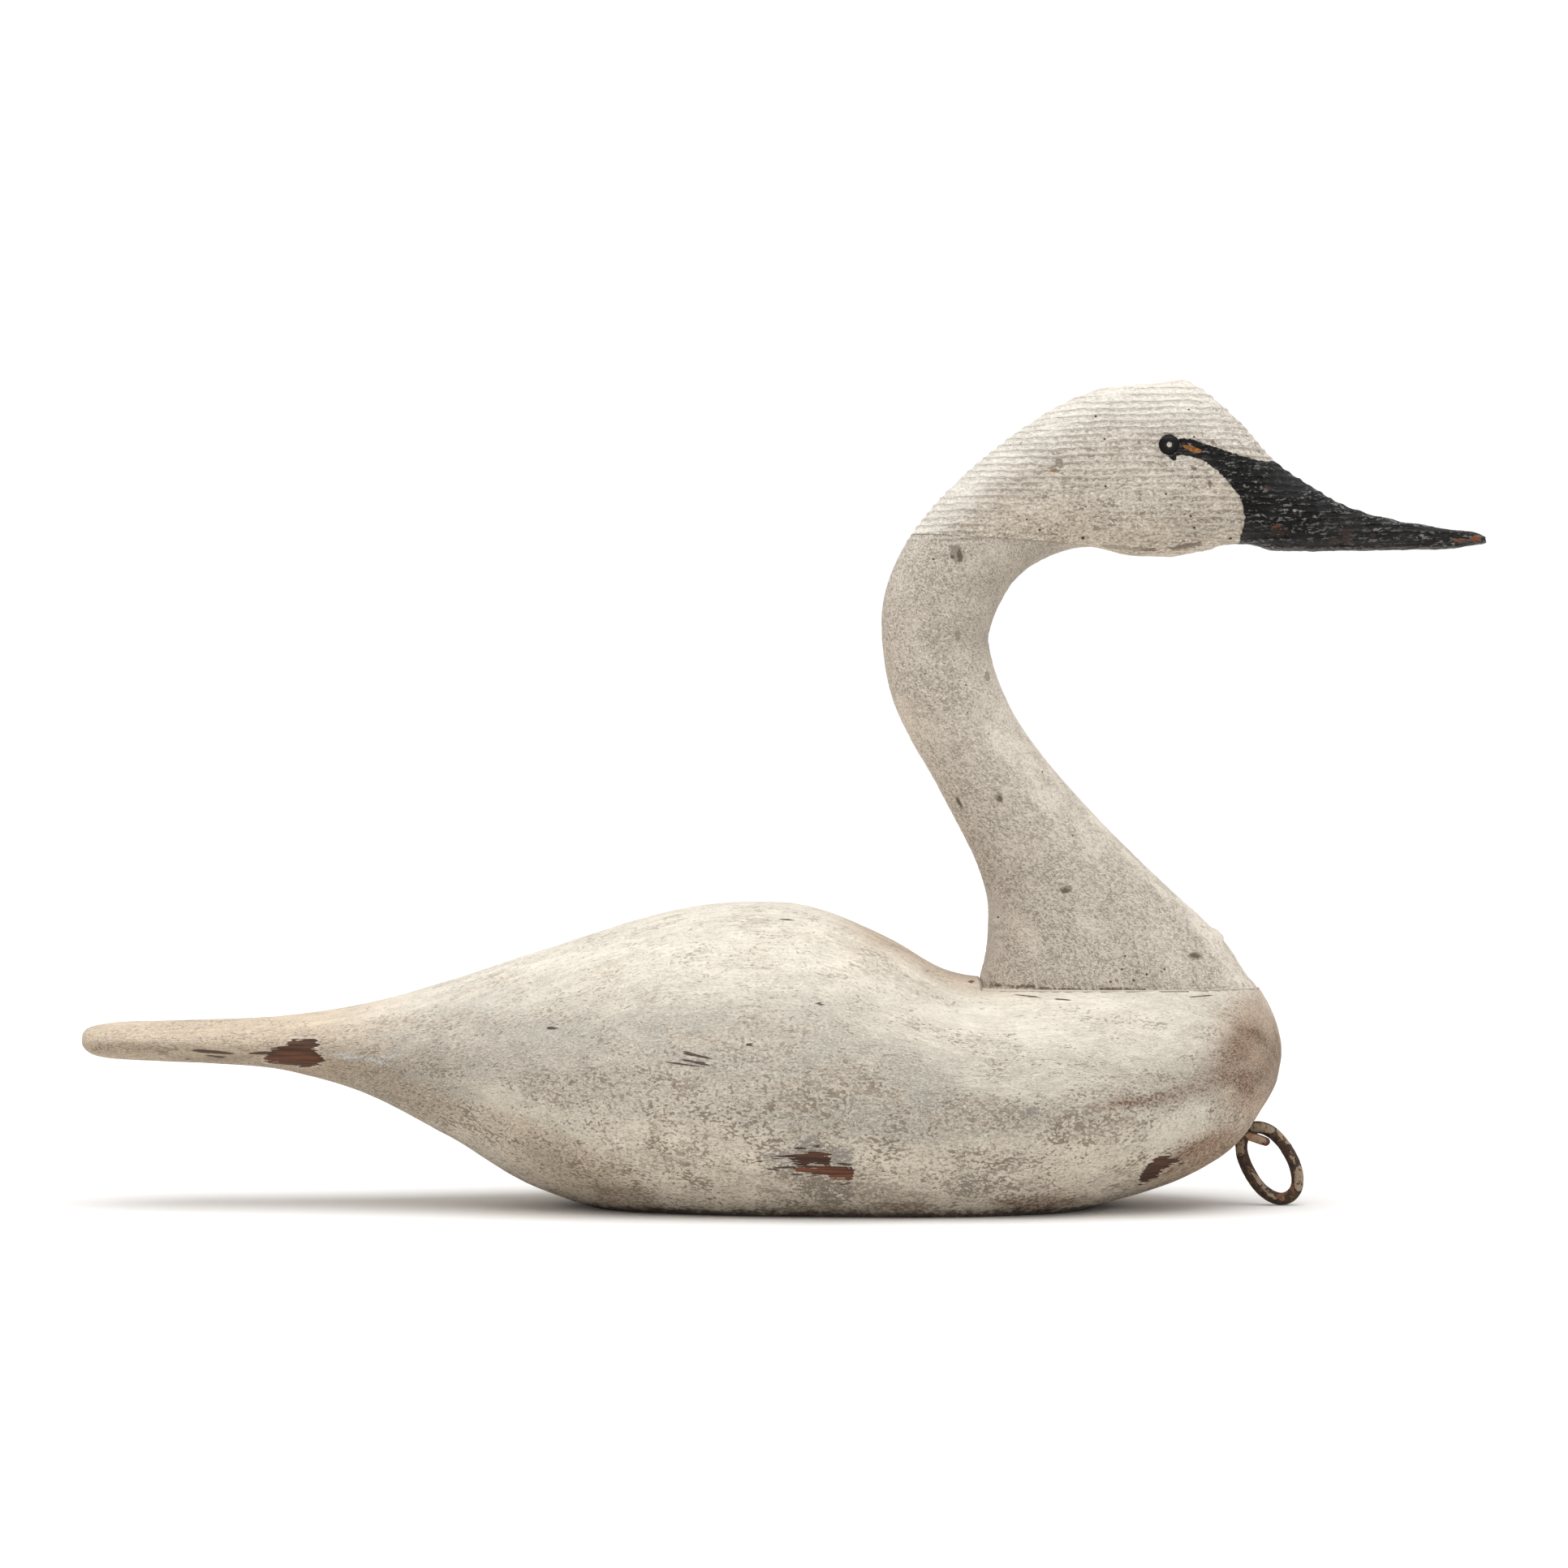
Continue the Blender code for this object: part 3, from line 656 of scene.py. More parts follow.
bodyPaint = {
    "cream": tone(245, 238, 223), "middle": tone(224, 214, 200), "low": tone(249, 238, 222),
    "grey": tone(192, 188, 178), "warm": tone(222, 205, 186), "tan": tone(196, 170, 143),
    "spot": tone(138, 125, 109), "brown": tone(122, 83, 55), "belly": tone(158, 145, 128),
    "glaze": tone(180, 129, 89), "tail": tone(228, 205, 177), "split": tone(78, 58, 48),
    "woodDark": tone(72, 50, 39), "woodBrown": tone(112, 76, 56), "woodWarm": tone(146, 90, 64),
    "primer": tone(158, 153, 147), "primerLow": tone(152, 140, 129),
    # Bare wood, outlined on the near side: the tail's patch, the flank's two and the hole by the breast.
    "patches": [
        [(-317.2, 90.2), (-313.9, 94.1), (-309.3, 98.7), (-302.1, 100.7), (-298.1, 104.3), (-290.2, 105.5),
         (-284.2, 104.7), (-281.6, 101.4), (-286.9, 99.1), (-282.9, 95.4), (-278.3, 90.8), (-286.2, 89.1),
         (-292.8, 87.9), (-303.4, 89.5)],
        [(-9.2, 39.6), (-0.1, 38.6), (14.1, 40.4), (17.7, 42.1), (19.9, 41.2), (26.6, 41.1), (27.2, 36.6),
         (24.4, 34.6), (15.0, 34.8), (5.7, 36.2), (-0.1, 37.6)],
        [(3.3, 31.8), (7.2, 33.4), (14.1, 33.4), (17.0, 31.6), (19.9, 32.5), (24.8, 33.2), (30.7, 32.2),
         (39.8, 32.4), (40.5, 26.2), (39.0, 25.0), (34.1, 26.4), (29.7, 25.2), (26.8, 26.2), (25.8, 28.4),
         (21.9, 28.9), (19.0, 28.0), (14.1, 28.2), (10.2, 29.4)],
        [(214.0, 22.5), (216.5, 27.5), (219.5, 31.5), (223, 34.8), (227, 36.0), (231.5, 35.3), (236, 34.2),
         (238, 32.4), (233, 30.0), (229.5, 28.0), (227, 25.8), (224.5, 23.2), (221, 20.6), (217.5, 18.8),
         (214.5, 19.2)],
    ],
    "primer outline": [
        (-14, 41), (-12, 36.5), (0, 34.5), (-6, 31), (4, 27), (12, 25.5), (8, 20), (17, 14), (24, 8),
        (40.5, 10), (41, 34), (39.5, 36), (39.5, 42), (34, 46), (28, 44), (21, 49), (16, 52), (11, 51),
        (9, 45), (-1, 43.5),
    ],
    "warm marks": [(22, 28.5, 30, 6.0, 0), (-299, 91, 26, 7.0, 0)],
    # Splits and cracks; the speck at 115.5, 139.2 behind the neck's foot is a painted shadow in the gap there.
    "splits": [
        (-346.9, 96.8, 15.5, 1.3, -5), (-345.5, 93.7, 7, 1.0, -6), (-317, 96.2, 8.5, 1.2, 3),
        (-363.4, 91.7, 1.8, 0.7, 0), (-52.3, 99.3, 11, 1.0, -13), (-51.9, 95.2, 12.5, 0.8, -9),
        (-58.5, 94.0, 12, 0.6, -7), (-19.1, 105.6, 2.2, 1.1, 0), (21.6, 129.2, 2.0, 0.9, 20),
        (2, 177.5, 4.5, 0.6, -4), (-136.9, 113.9, 2.6, 1.0, 0), (10.6, 44.4, 4.4, 0.9, -4),
        (20.9, 45.7, 2.4, 0.9, -8), (0.8, 32.6, 7.5, 0.8, 3), (-5.8, 31.2, 3.2, 0.7, -10),
        (7.9, 28.1, 3.6, 0.8, -6), (36.1, 34.6, 4.6, 0.9, -5), (115.5, 139.2, 2.0, 1.5, 0),
        (-13.9, 36.2, 2.8, 0.7, -4), (36.4, 22.2, 3.0, 1.0, 15), (236.3, 34.3, 2.8, 0.7, 8),
        (238.2, 32.5, 2.4, 0.7, 10), (232.6, 32.2, 1.5, 0.9, 30), (240.2, 30.3, 3.4, 0.6, 25),
        (147, 131.8, 9.5, 0.55, -6), (166.8, 130.2, 6.0, 0.45, -6), (252, 131.2, 9.5, 0.4, 3),
    ],
    "scratches": [(-12.4, 75.9, 14, 0.5, -5), (-155.4, 73.2, 7.5, 0.5, -74), (-74.5, 141.0, 6.5, 0.8, 40),
                  (-45, 141, 18, 0.5, -3)],
    "far splits": [(40, 98, 14, 0.8, -2), (-110, 88, 10, 0.9, 5)],
    "far bare": [(-210, 74, 12, 4.5, -8), (66, 34, 13, 3.0, 0), (188, 42, 6, 3, 30)],
    "light marks": [(165, 112, 140, 36, -3), (150, 84, 76, 24, -6), (-260, 122, 90, 10, 8),
                    (232, 52, 44, 13, 24), (-150, 62, 60, 14, -26)],
    "primer marks": [(147, 66, 17, 6, -4), (112, 22, 22, 8, 4)],
    "tan marks": [
        (292, 88, 46, 60, 14), (-330, 84, 140, 15, 3), (-130, 28, 95, 30, -36), (250, 30, 60, 22, 30),
        (-400, 98, 46, 7, 0), (-214, 66, 40, 16, -22),
    ],
    "stain marks": [
        (276, 101, 30, 15, 54), (258, 82, 32, 17, 36), (232, 74, 32, 9, 12), (205, 70, 28, 6, 5),
        (280, 78, 20, 16, 60), (-142, 34, 32, 11, -38), (-98, 16, 38, 7, -8), (231.3, 24.8, 15, 1.8, 26),
        (240, 36, 30, 7, 25), (-345, 93, 34, 4, 0), (150, 8, 40, 7, 4), (40, 6, 60, 5, 0),
        (115, 168, 60, 12, -34),
    ],
    "blue marks": [(-262, 94.6, 13, 2.0, -4), (-246, 92.4, 13, 1.6, -14), (-237, 95.4, 9, 1.2, 8)],
}


def bodyMaterial():
    made, plan, shader = newMaterial("worn white body paint")
    values = bodyPaint
    where = plan.put("ShaderNodeTexCoord").outputs["Object"]
    ahead, sideways, height = plan.parts(where)
    brushed = plan.join(ahead, sideways, numbers(plan, "brushed"))
    cloud = plan.pattern(where, (5.0, 9.0, 15.0), 4.0, 0.55, 0.4)
    patchy = plan.pattern(brushed, (18.0, 24.0, 38.0), 4.0, 0.6, 0.5)
    streaks = useGroup(plan, brushStreaks, Where=brushed, Pitch=860.0)
    drawn = plan.put("ShaderNodeMapping", {"Vector": brushed, "Rotation": (0, 0.1, 0),
                                           "Scale": (0.62, 0.85, 1.0)}).outputs[0]
    grain = useGroup(plan, paintGrain, Where=drawn, Size=0.0012)

    upper = plan.scaled(plan.centred(cloud), 0.08, height)
    colour = plan.blend(plan.span(upper, 0.088, 0.155), values["middle"], values["cream"])
    # Paler again low down: partly the paint's tone, partly painted light for the floor's bounce.
    colour = plan.blend(plan.span(upper, 0.078, 0.042), colour, values["low"])
    band = plan.times(plan.span(upper, 0.05, 0.07), plan.gate(upper, 0.12, 0.155))
    smear = plan.span(plan.scaled(streaks[0], 0.6, cloud), 0.70, 0.90)
    colour = plan.blend(plan.times(band, plan.scaled(smear, 0.6, 0.2)), colour, values["grey"])
    colour = plan.blend(plan.span(patchy, 0.48, 0.62, 0.0, 0.40), colour, values["warm"])
    light = plan.times(plan.span(numbers(plan, "light"), 0.0, 0.6), plan.span(patchy, 0.62, 0.4, 0.75, 1.0))
    across = numbers(plan, "across")
    # Cream over the light marks, and along the top of each section a painted highlight where the top light
    # falls.
    colour = plan.blend(plan.most(light, plan.span(across, 0.8, 0.98)), colour, values["cream"])
    slope = plan.times(plan.span(across, 0.84, 0.98), plan.span(ahead, 0.02, 0.06))
    colour = plan.blend(plan.times(slope, 0.7), colour, values["tan"])
    tailShare = plan.span(ahead, -0.20, -0.30, 0.0, 0.8)
    colour = plan.blend(tailShare, colour, values["tail"])
    tan = plan.times(plan.span(numbers(plan, "tan"), 0.0, 0.7), plan.span(cloud, 0.34, 0.6, 0.40, 0.72))
    tan = plan.times(tan, plan.span(ahead, 0.2, 0.27, 1.0, 1.4))
    tanTone = plan.blend(plan.span(ahead, 0.2, 0.28), values["tan"], values["glaze"])
    colour = plan.blend(tan, colour, tanTone)
    mottle = plan.pattern(brushed, (55.0, 55.0, 90.0), 3.0, 0.55, 0.5)
    shade = plan.times(plan.span(streaks[0], 0.38, 0.62, 0.86, 1.05),
                       plan.span(mottle, 0.36, 0.64, 0.91, 1.05))
    colour = plan.blend(1.0, colour, plan.join(shade, shade, shade), "MULTIPLY")

    lower = plan.most(plan.span(upper, 0.14, 0.05), plan.times(tan, 1.1))
    cover = plan.scaled(lower, 0.60, plan.span(patchy, 0.36, 0.66, -0.35, 0.55))
    cover = plan.scaled(light, -0.5, cover)
    spots = useGroup(plan, paintSpots, Where=drawn, Size=0.0017, Cover=cover)
    broad = useGroup(plan, paintSpots, Where=drawn, Size=0.0045, Cover=cover)
    depth = plan.span(plan.pattern(drawn, (90.0, 60.0, 90.0), 2.0), 0.38, 0.62, 0.5, 1.0)
    colour = plan.blend(plan.times(broad[0], 0.14), colour, values["spot"])
    # Grain hollows darker, dirt and painted shade; crests and lifted rims paler, a painted highlight.
    hollow = plan.times(grain[1], plan.scaled(lower, 0.22, 0.26))
    hollow = plan.times(hollow, plan.scaled(light, -0.5, 1.0))
    colour = plan.blend(hollow, colour, values["spot"])
    pale = plan.times(plan.most(grain[2], spots[1]), plan.scaled(lower, 0.26, 0.30))
    colour = plan.blend(pale, colour, values["cream"])
    fleck = plan.times(plan.times(spots[0], depth), plan.scaled(lower, 0.28, 0.52))
    colour = plan.blend(fleck, colour, values["spot"])
    colour = plan.blend(plan.times(streaks[1], 0.5), colour, values["spot"])

    stain = plan.span(plan.scaled(plan.centred(patchy), 1.6, fieldOf(plan, "stain")), 0.0, 0.8)
    speckled = plan.scaled(grain[1], 0.35, plan.scaled(spots[0], 0.2, 0.44))
    stainTone = plan.blend(plan.span(ahead, -0.02, 0.1), values["belly"], values["brown"])
    stain = plan.times(stain, plan.span(streaks[0], 0.40, 0.60, 0.45, 1.15))
    colour = plan.blend(plan.times(stain, speckled), colour, stainTone)
    blue = plan.scaled(plan.centred(grain[0]), 1.3, fieldOf(plan, "blue"))
    colour = plan.blend(plan.times(plan.span(blue, 0.0, 0.6), 0.75), colour, tone(228, 232, 236))

    torn = plan.centred(plan.pattern(where, (110.0, 110.0, 620.0), 4.0, 0.65))
    islands = plan.centred(plan.pattern(where, (190.0, 190.0, 330.0), 3.0, 0.6, 0.4))
    crumbs = plan.centred(plan.pattern(where, (450.0, 450.0, 700.0), 3.0, 0.6))
    primerDepth = plan.calc("MINIMUM", fieldOf(plan, "primer"), 2.6)
    primerField = plan.scaled(crumbs, 22.0, plan.scaled(islands, 24.0, primerDepth))
    flaked = plan.times(plan.span(primerField, 0.8, 1.2), plan.span(grain[0], 0.0, 1.0, 0.95, 0.7))
    primerTone = plan.blend(plan.span(height, 0.024, 0.030), values["primerLow"], values["primer"])
    colour = plan.blend(flaked, colour, primerTone)
    primerRim = plan.times(plan.span(primerField, -0.6, 0.3), plan.gate(primerField, 0.5, 0.9))
    colour = plan.blend(plan.times(primerRim, 0.6), colour, values["cream"])

    combed = plan.centred(plan.pattern(where, (45.0, 45.0, 1000.0), 2.0, 0.5))
    bareField = plan.scaled(combed, 7.0, plan.scaled(torn, 6.0, fieldOf(plan, "bare")))
    bareMask = plan.span(bareField, -0.7, -0.4)
    bareRim = plan.times(plan.span(bareField, -1.8, -0.9), plan.gate(bareField, -0.9, -0.6))
    woodGrain = plan.pattern(where, (16.0, 30.0, 700.0), 3.0, 0.6)
    wood = plan.blend(plan.span(woodGrain, 0.42, 0.64), values["woodDark"], values["woodBrown"])
    warmWood = plan.times(plan.span(numbers(plan, "warm"), 0.0, 0.45),
                          plan.span(woodGrain, 0.36, 0.6, 0.25, 1.0))
    warmWood = plan.times(warmWood, plan.span(ahead, -0.2, -0.1, 0.42, 0.95))
    wood = plan.blend(warmWood, wood, values["woodWarm"])
    colour = plan.blend(plan.times(bareRim, 0.6), colour, values["cream"])
    colour = plan.blend(bareMask, colour, wood)
    # Dark splits, with the painted gap shadow behind the neck's foot.
    splinter = raggedPlace(plan, where, (60.0, 60.0, 700.0), (0.012, 0.0, 0.0011))
    splitAndShadowField = gatherMarks(plan, splinter, "body", values["splits"], nearSide)
    splitAndShadowField = gatherMarks(plan, splinter, "body", values["far splits"], farSide, splitAndShadowField)
    splitAndShadowMask = plan.span(splitAndShadowField, 0.0, 0.3)
    colour = plan.blend(plan.times(splitAndShadowMask, 0.92), colour, values["split"])
    scratch = plan.span(gatherMarks(plan, splinter, "body", values["scratches"], nearSide), 0.0, 0.5)
    colour = plan.blend(plan.times(scratch, 0.75), colour, values["cream"])

    rimNoise = plan.noise(where, 130.0, 4.0, 0.65)
    base = plan.gate(plan.scaled(plan.centred(rimNoise), 0.014, height), 0.0015, 0.006)
    colour = plan.blend(plan.times(base, 0.8), colour, values["woodDark"])

    gone = plan.most(plan.most(bareMask, splitAndShadowMask), plan.times(spots[0], 0.4))
    gone = plan.most(gone, plan.times(flaked, 0.4))
    gritty = plan.times(grain[0], plan.span(lower, 0.0, 1.0, 0.3, 0.6))
    relief = plan.scaled(streaks[0], 0.75, gritty)
    relief = plan.scaled(gone, -0.5, plan.scaled(scratch, 0.5, relief))
    rough = plan.span(plan.most(bareMask, splitAndShadowMask), 0.0, 1.0, 0.66, 0.56)
    dress(plan, shader, colour, rough, relief)
    shader.inputs["Specular IOR Level"].default_value = 0.35
    return made


neckPaint = {
    # The edge and warm tones are painted highlights for the neck's lit edges.
    "pale": tone(246, 235, 220), "beige": tone(232, 220, 204), "edge": tone(255, 247, 233),
    "warm": tone(250, 233, 216), "grey": tone(180, 171, 157), "brown": tone(122, 102, 86),
    "hollow": tone(140, 124, 106), "puttyAndHighlight": tone(250, 241, 228),
    "chips": [
        (105.6, 399.6, 4.4, 5.6, 8), (98.4, 399.0, 2.6, 0.9, 0), (105, 403.6, 4.2, 1.8, -6),
        (106, 351.4, 2.7, 1.2, 0), (106, 350, 1.7, 3.2, 5), (124.5, 325.5, 1.7, 3.5, 12),
        (131.4, 251.2, 2.8, 3.4, 10), (106.6, 248.1, 1.5, 5.2, 29), (171.6, 195.3, 4.0, 2.4, 0),
        (250, 154.8, 4.8, 2.4, -8),
    ],
    "brown marks": [
        (107.2, 398.8, 1.9, 5.0, 6), (102.6, 398.2, 1.6, 1.6, 0), (131.6, 250.2, 2.4, 2.2, 0),
        (106.6, 248.1, 1.2, 4.4, 29), (171.4, 194.8, 3.0, 1.8, 0), (250.5, 155.2, 3.8, 1.5, -8),
    ],
    # Putty lumps; the three at the foot's back corner and back edge are a painted highlight where that corner
    # lies in shade.
    "putty marks": [(130, 174.5, 3.8, 2.8, 25), (127, 170, 9, 30, 0), (264.7, 166.2, 5.4, 3.0, -35),
                    (134, 168, 6, 2.4, 10), (121, 139, 6.0, 7.0, 0), (123, 156, 4.0, 9.0, 4)],
    "pinholes": [
        (91.2, 396.8, 0.9, 0.9, 0), (104, 335, 0.6, 0.6, 0), (111, 320, 0.7, 0.7, 0), (112, 303, 0.6, 0.6, 0),
        (125, 290, 0.6, 0.6, 0), (86, 327, 0.7, 0.5, 0), (150, 236, 0.6, 0.6, 0), (176, 228, 0.8, 0.7, 0),
        (158, 267, 0.7, 0.7, 0), (131, 178, 0.9, 0.8, 0), (205, 147, 1.1, 0.9, 0), (212, 140.5, 1.2, 0.9, 0),
        (220, 144, 0.9, 1.1, 0), (198, 139.5, 1.0, 0.9, 0), (231, 147, 0.9, 0.8, 0), (207, 155, 0.8, 0.8, 0),
    ],
    "seam dirt": [
        (130.5, 136.6, 5.0, 1.5, 0), (146, 136.2, 12, 1.5, 0), (170, 135.0, 20, 1.0, 0),
        (200, 134.8, 22, 1.6, 0), (122.6, 176, 0.9, 2.0, 0), (119.4, 147, 0.7, 1.6, -8),
    ],
    "far chips": [(118, 372, 2.6, 3.2, 10), (140, 268, 2.4, 3.4, 30), (190, 178, 4.0, 2.4, 0),
                  (96, 330, 2.0, 2.6, 0)],
    "pressed": [
        (105.6, 399.6, 4.6, 5.8, 8, -0.7), (131.2, 251.6, 3.2, 3.8, 15, -0.6),
        (106.6, 248.1, 1.8, 5.4, 29, -0.6), (171.6, 195.3, 4.0, 3.0, 0, -0.6),
        (250, 154.8, 5.0, 2.8, -8, -0.6), (130, 174.5, 3.6, 2.6, 25, 1.3), (133, 168, 5.0, 2.2, 20, 0.6),
        (265.5, 166.6, 5.8, 3.0, -35, 1.7), (256, 165, 5.0, 2.4, -20, 0.6), (126.5, 349.5, 2.4, 3.6, 0, -0.7),
        (160.5, 394.5, 2.6, 3.0, 0, -0.6), (133, 398, 7, 6, 40, 0.4), (70, 292, 4.0, 9.0, 15, -0.5),
    ],
}


def neckMaterial():
    made, plan, shader = newMaterial("worn white neck paint")
    values = neckPaint
    where = plan.put("ShaderNodeTexCoord").outputs["Object"]
    height = plan.parts(where)[2]
    flow = plan.put("ShaderNodeAttribute", attribute_name="flow").outputs["Vector"]
    cloud = plan.pattern(flow, (26.0, 26.0, 12.0), 4.0, 0.55, 0.3)
    patchy = plan.pattern(flow, (70.0, 70.0, 40.0), 4.0, 0.6, 0.5)
    colour = plan.blend(plan.span(cloud, 0.36, 0.62), values["beige"], values["pale"])
    across = numbers(plan, "across")
    # Painted highlights: the back edge, the front edge with the foot's wide front, and the nape painted paler
    # where side and top light fall on them.
    back = plan.times(plan.span(across, 0.55, 0.95), plan.span(patchy, 0.36, 0.6, 0.5, 1.0))
    colour = plan.blend(plan.times(back, 0.85), colour, values["warm"])
    wide = plan.times(plan.span(across, 0.35, -0.4), plan.span(height, 0.335, 0.28, 0.0, 0.85))
    wide = plan.times(wide, plan.span(height, 0.25, 0.19, 1.0, 0.45))
    rim = plan.times(plan.span(across, -0.62, -0.92), plan.span(height, 0.345, 0.30, 0.15, 1.0))
    front = plan.times(plan.most(wide, rim), plan.span(patchy, 0.36, 0.6, 0.6, 1.0))
    colour = plan.blend(front, colour, values["edge"])
    nape = plan.times(plan.span(across, 0.1, 0.8), plan.span(height, 0.35, 0.40, 0.0, 0.7))
    colour = plan.blend(nape, colour, values["edge"])

    fine = useGroup(plan, paintGrain, Where=flow, Size=0.0013)
    coarse = useGroup(plan, paintGrain, Where=plan.move("MULTIPLY", flow, (1.0, 0.8, 0.6)), Size=0.0023)
    calm = plan.span(plan.noise(plan.move("MULTIPLY", flow, (30.0, 30.0, 18.0)), 1.3, 3.0, 0.5), 0.50, 0.66)
    calm = plan.most(plan.times(calm, 0.5), plan.times(front, 0.8))
    strength = plan.scaled(calm, -0.6, 1.0)
    low = plan.times(strength, plan.span(height, 0.34, 0.20, 0.4, 0.8))
    shade = plan.span(patchy, 0.34, 0.66, 0.91, 1.05)
    colour = plan.blend(1.0, colour, plan.join(shade, shade, shade), "MULTIPLY")
    # Grain hollows darker, dirt and painted shade; grain crests paler, a painted highlight.
    dirtAndShade = plan.most(plan.times(fine[1], strength), plan.times(coarse[1], low))
    colour = plan.blend(plan.times(dirtAndShade, 0.75), colour, values["hollow"])
    crest = plan.most(plan.times(fine[2], strength), plan.times(coarse[2], low))
    colour = plan.blend(plan.times(crest, 0.95), colour, values["puttyAndHighlight"])
    pits = plan.times(coarse[3], plan.span(height, 0.24, 0.15, 0.3, 0.9))
    colour = plan.blend(plan.times(pits, 0.6), colour, values["brown"])
    # Putty lumps and the painted highlight at the foot's back corner.
    puttyAndHighlight = plan.span(numbers(plan, "puttyAndHighlight"), 0.0, 0.5)
    colour = plan.blend(plan.times(puttyAndHighlight, 0.6), colour, values["puttyAndHighlight"])
    soft, line, under = raisedGrain(plan, where, headPaint["spacing"], headPaint["wander"],
                                    headPaint["breaks"])
    grainShare = numbers(plan, "grainShare")
    # A painted shadow below each raised crest and a painted highlight along it.
    colour = plan.blend(plan.times(plan.times(under, grainShare), 0.45), colour, values["hollow"])
    colour = plan.blend(plan.times(plan.times(line, grainShare), 0.8), colour, headPaint["crest"])

    torn = plan.centred(plan.noise(where, 420.0, 4.0, 0.65))
    chipField = plan.scaled(torn, 1.9, numbers(plan, "chips"))
    chips = plan.span(chipField, 0.0, 0.12)
    rim = plan.times(plan.span(chipField, -0.35, -0.05), plan.gate(chipField, -0.05, 0.02))
    brownField = plan.scaled(torn, 1.7, numbers(plan, "brown"))
    pins = plan.span(gatherMarks(plan, where, "neck", values["pinholes"], nearSide), 0.0, 0.4)
    dirtField = plan.scaled(torn, 3.0, numbers(plan, "seamDirt"))
    colour = plan.blend(plan.times(rim, 0.5), colour, values["pale"])
    colour = plan.blend(plan.times(chips, 0.85), colour, values["grey"])
    colour = plan.blend(plan.times(plan.span(brownField, 0.0, 0.3), 0.85), colour, values["brown"])
    colour = plan.blend(pins, colour, values["brown"])
    colour = plan.blend(plan.times(plan.span(dirtField, 0.0, 0.5), 0.85), colour, values["brown"])

    relief = plan.times(fine[0], plan.times(strength, 1.1))
    relief = plan.scaled(coarse[0], plan.times(low, 1.0), relief)
    relief = plan.scaled(pits, -0.3, relief)
    relief = plan.scaled(plan.times(soft, grainShare), 0.6, relief)
    relief = plan.scaled(plan.most(chips, pins), -0.5, relief)
    dress(plan, shader, colour, 0.68, relief)
    shader.inputs["Specular IOR Level"].default_value = 0.35
    return made


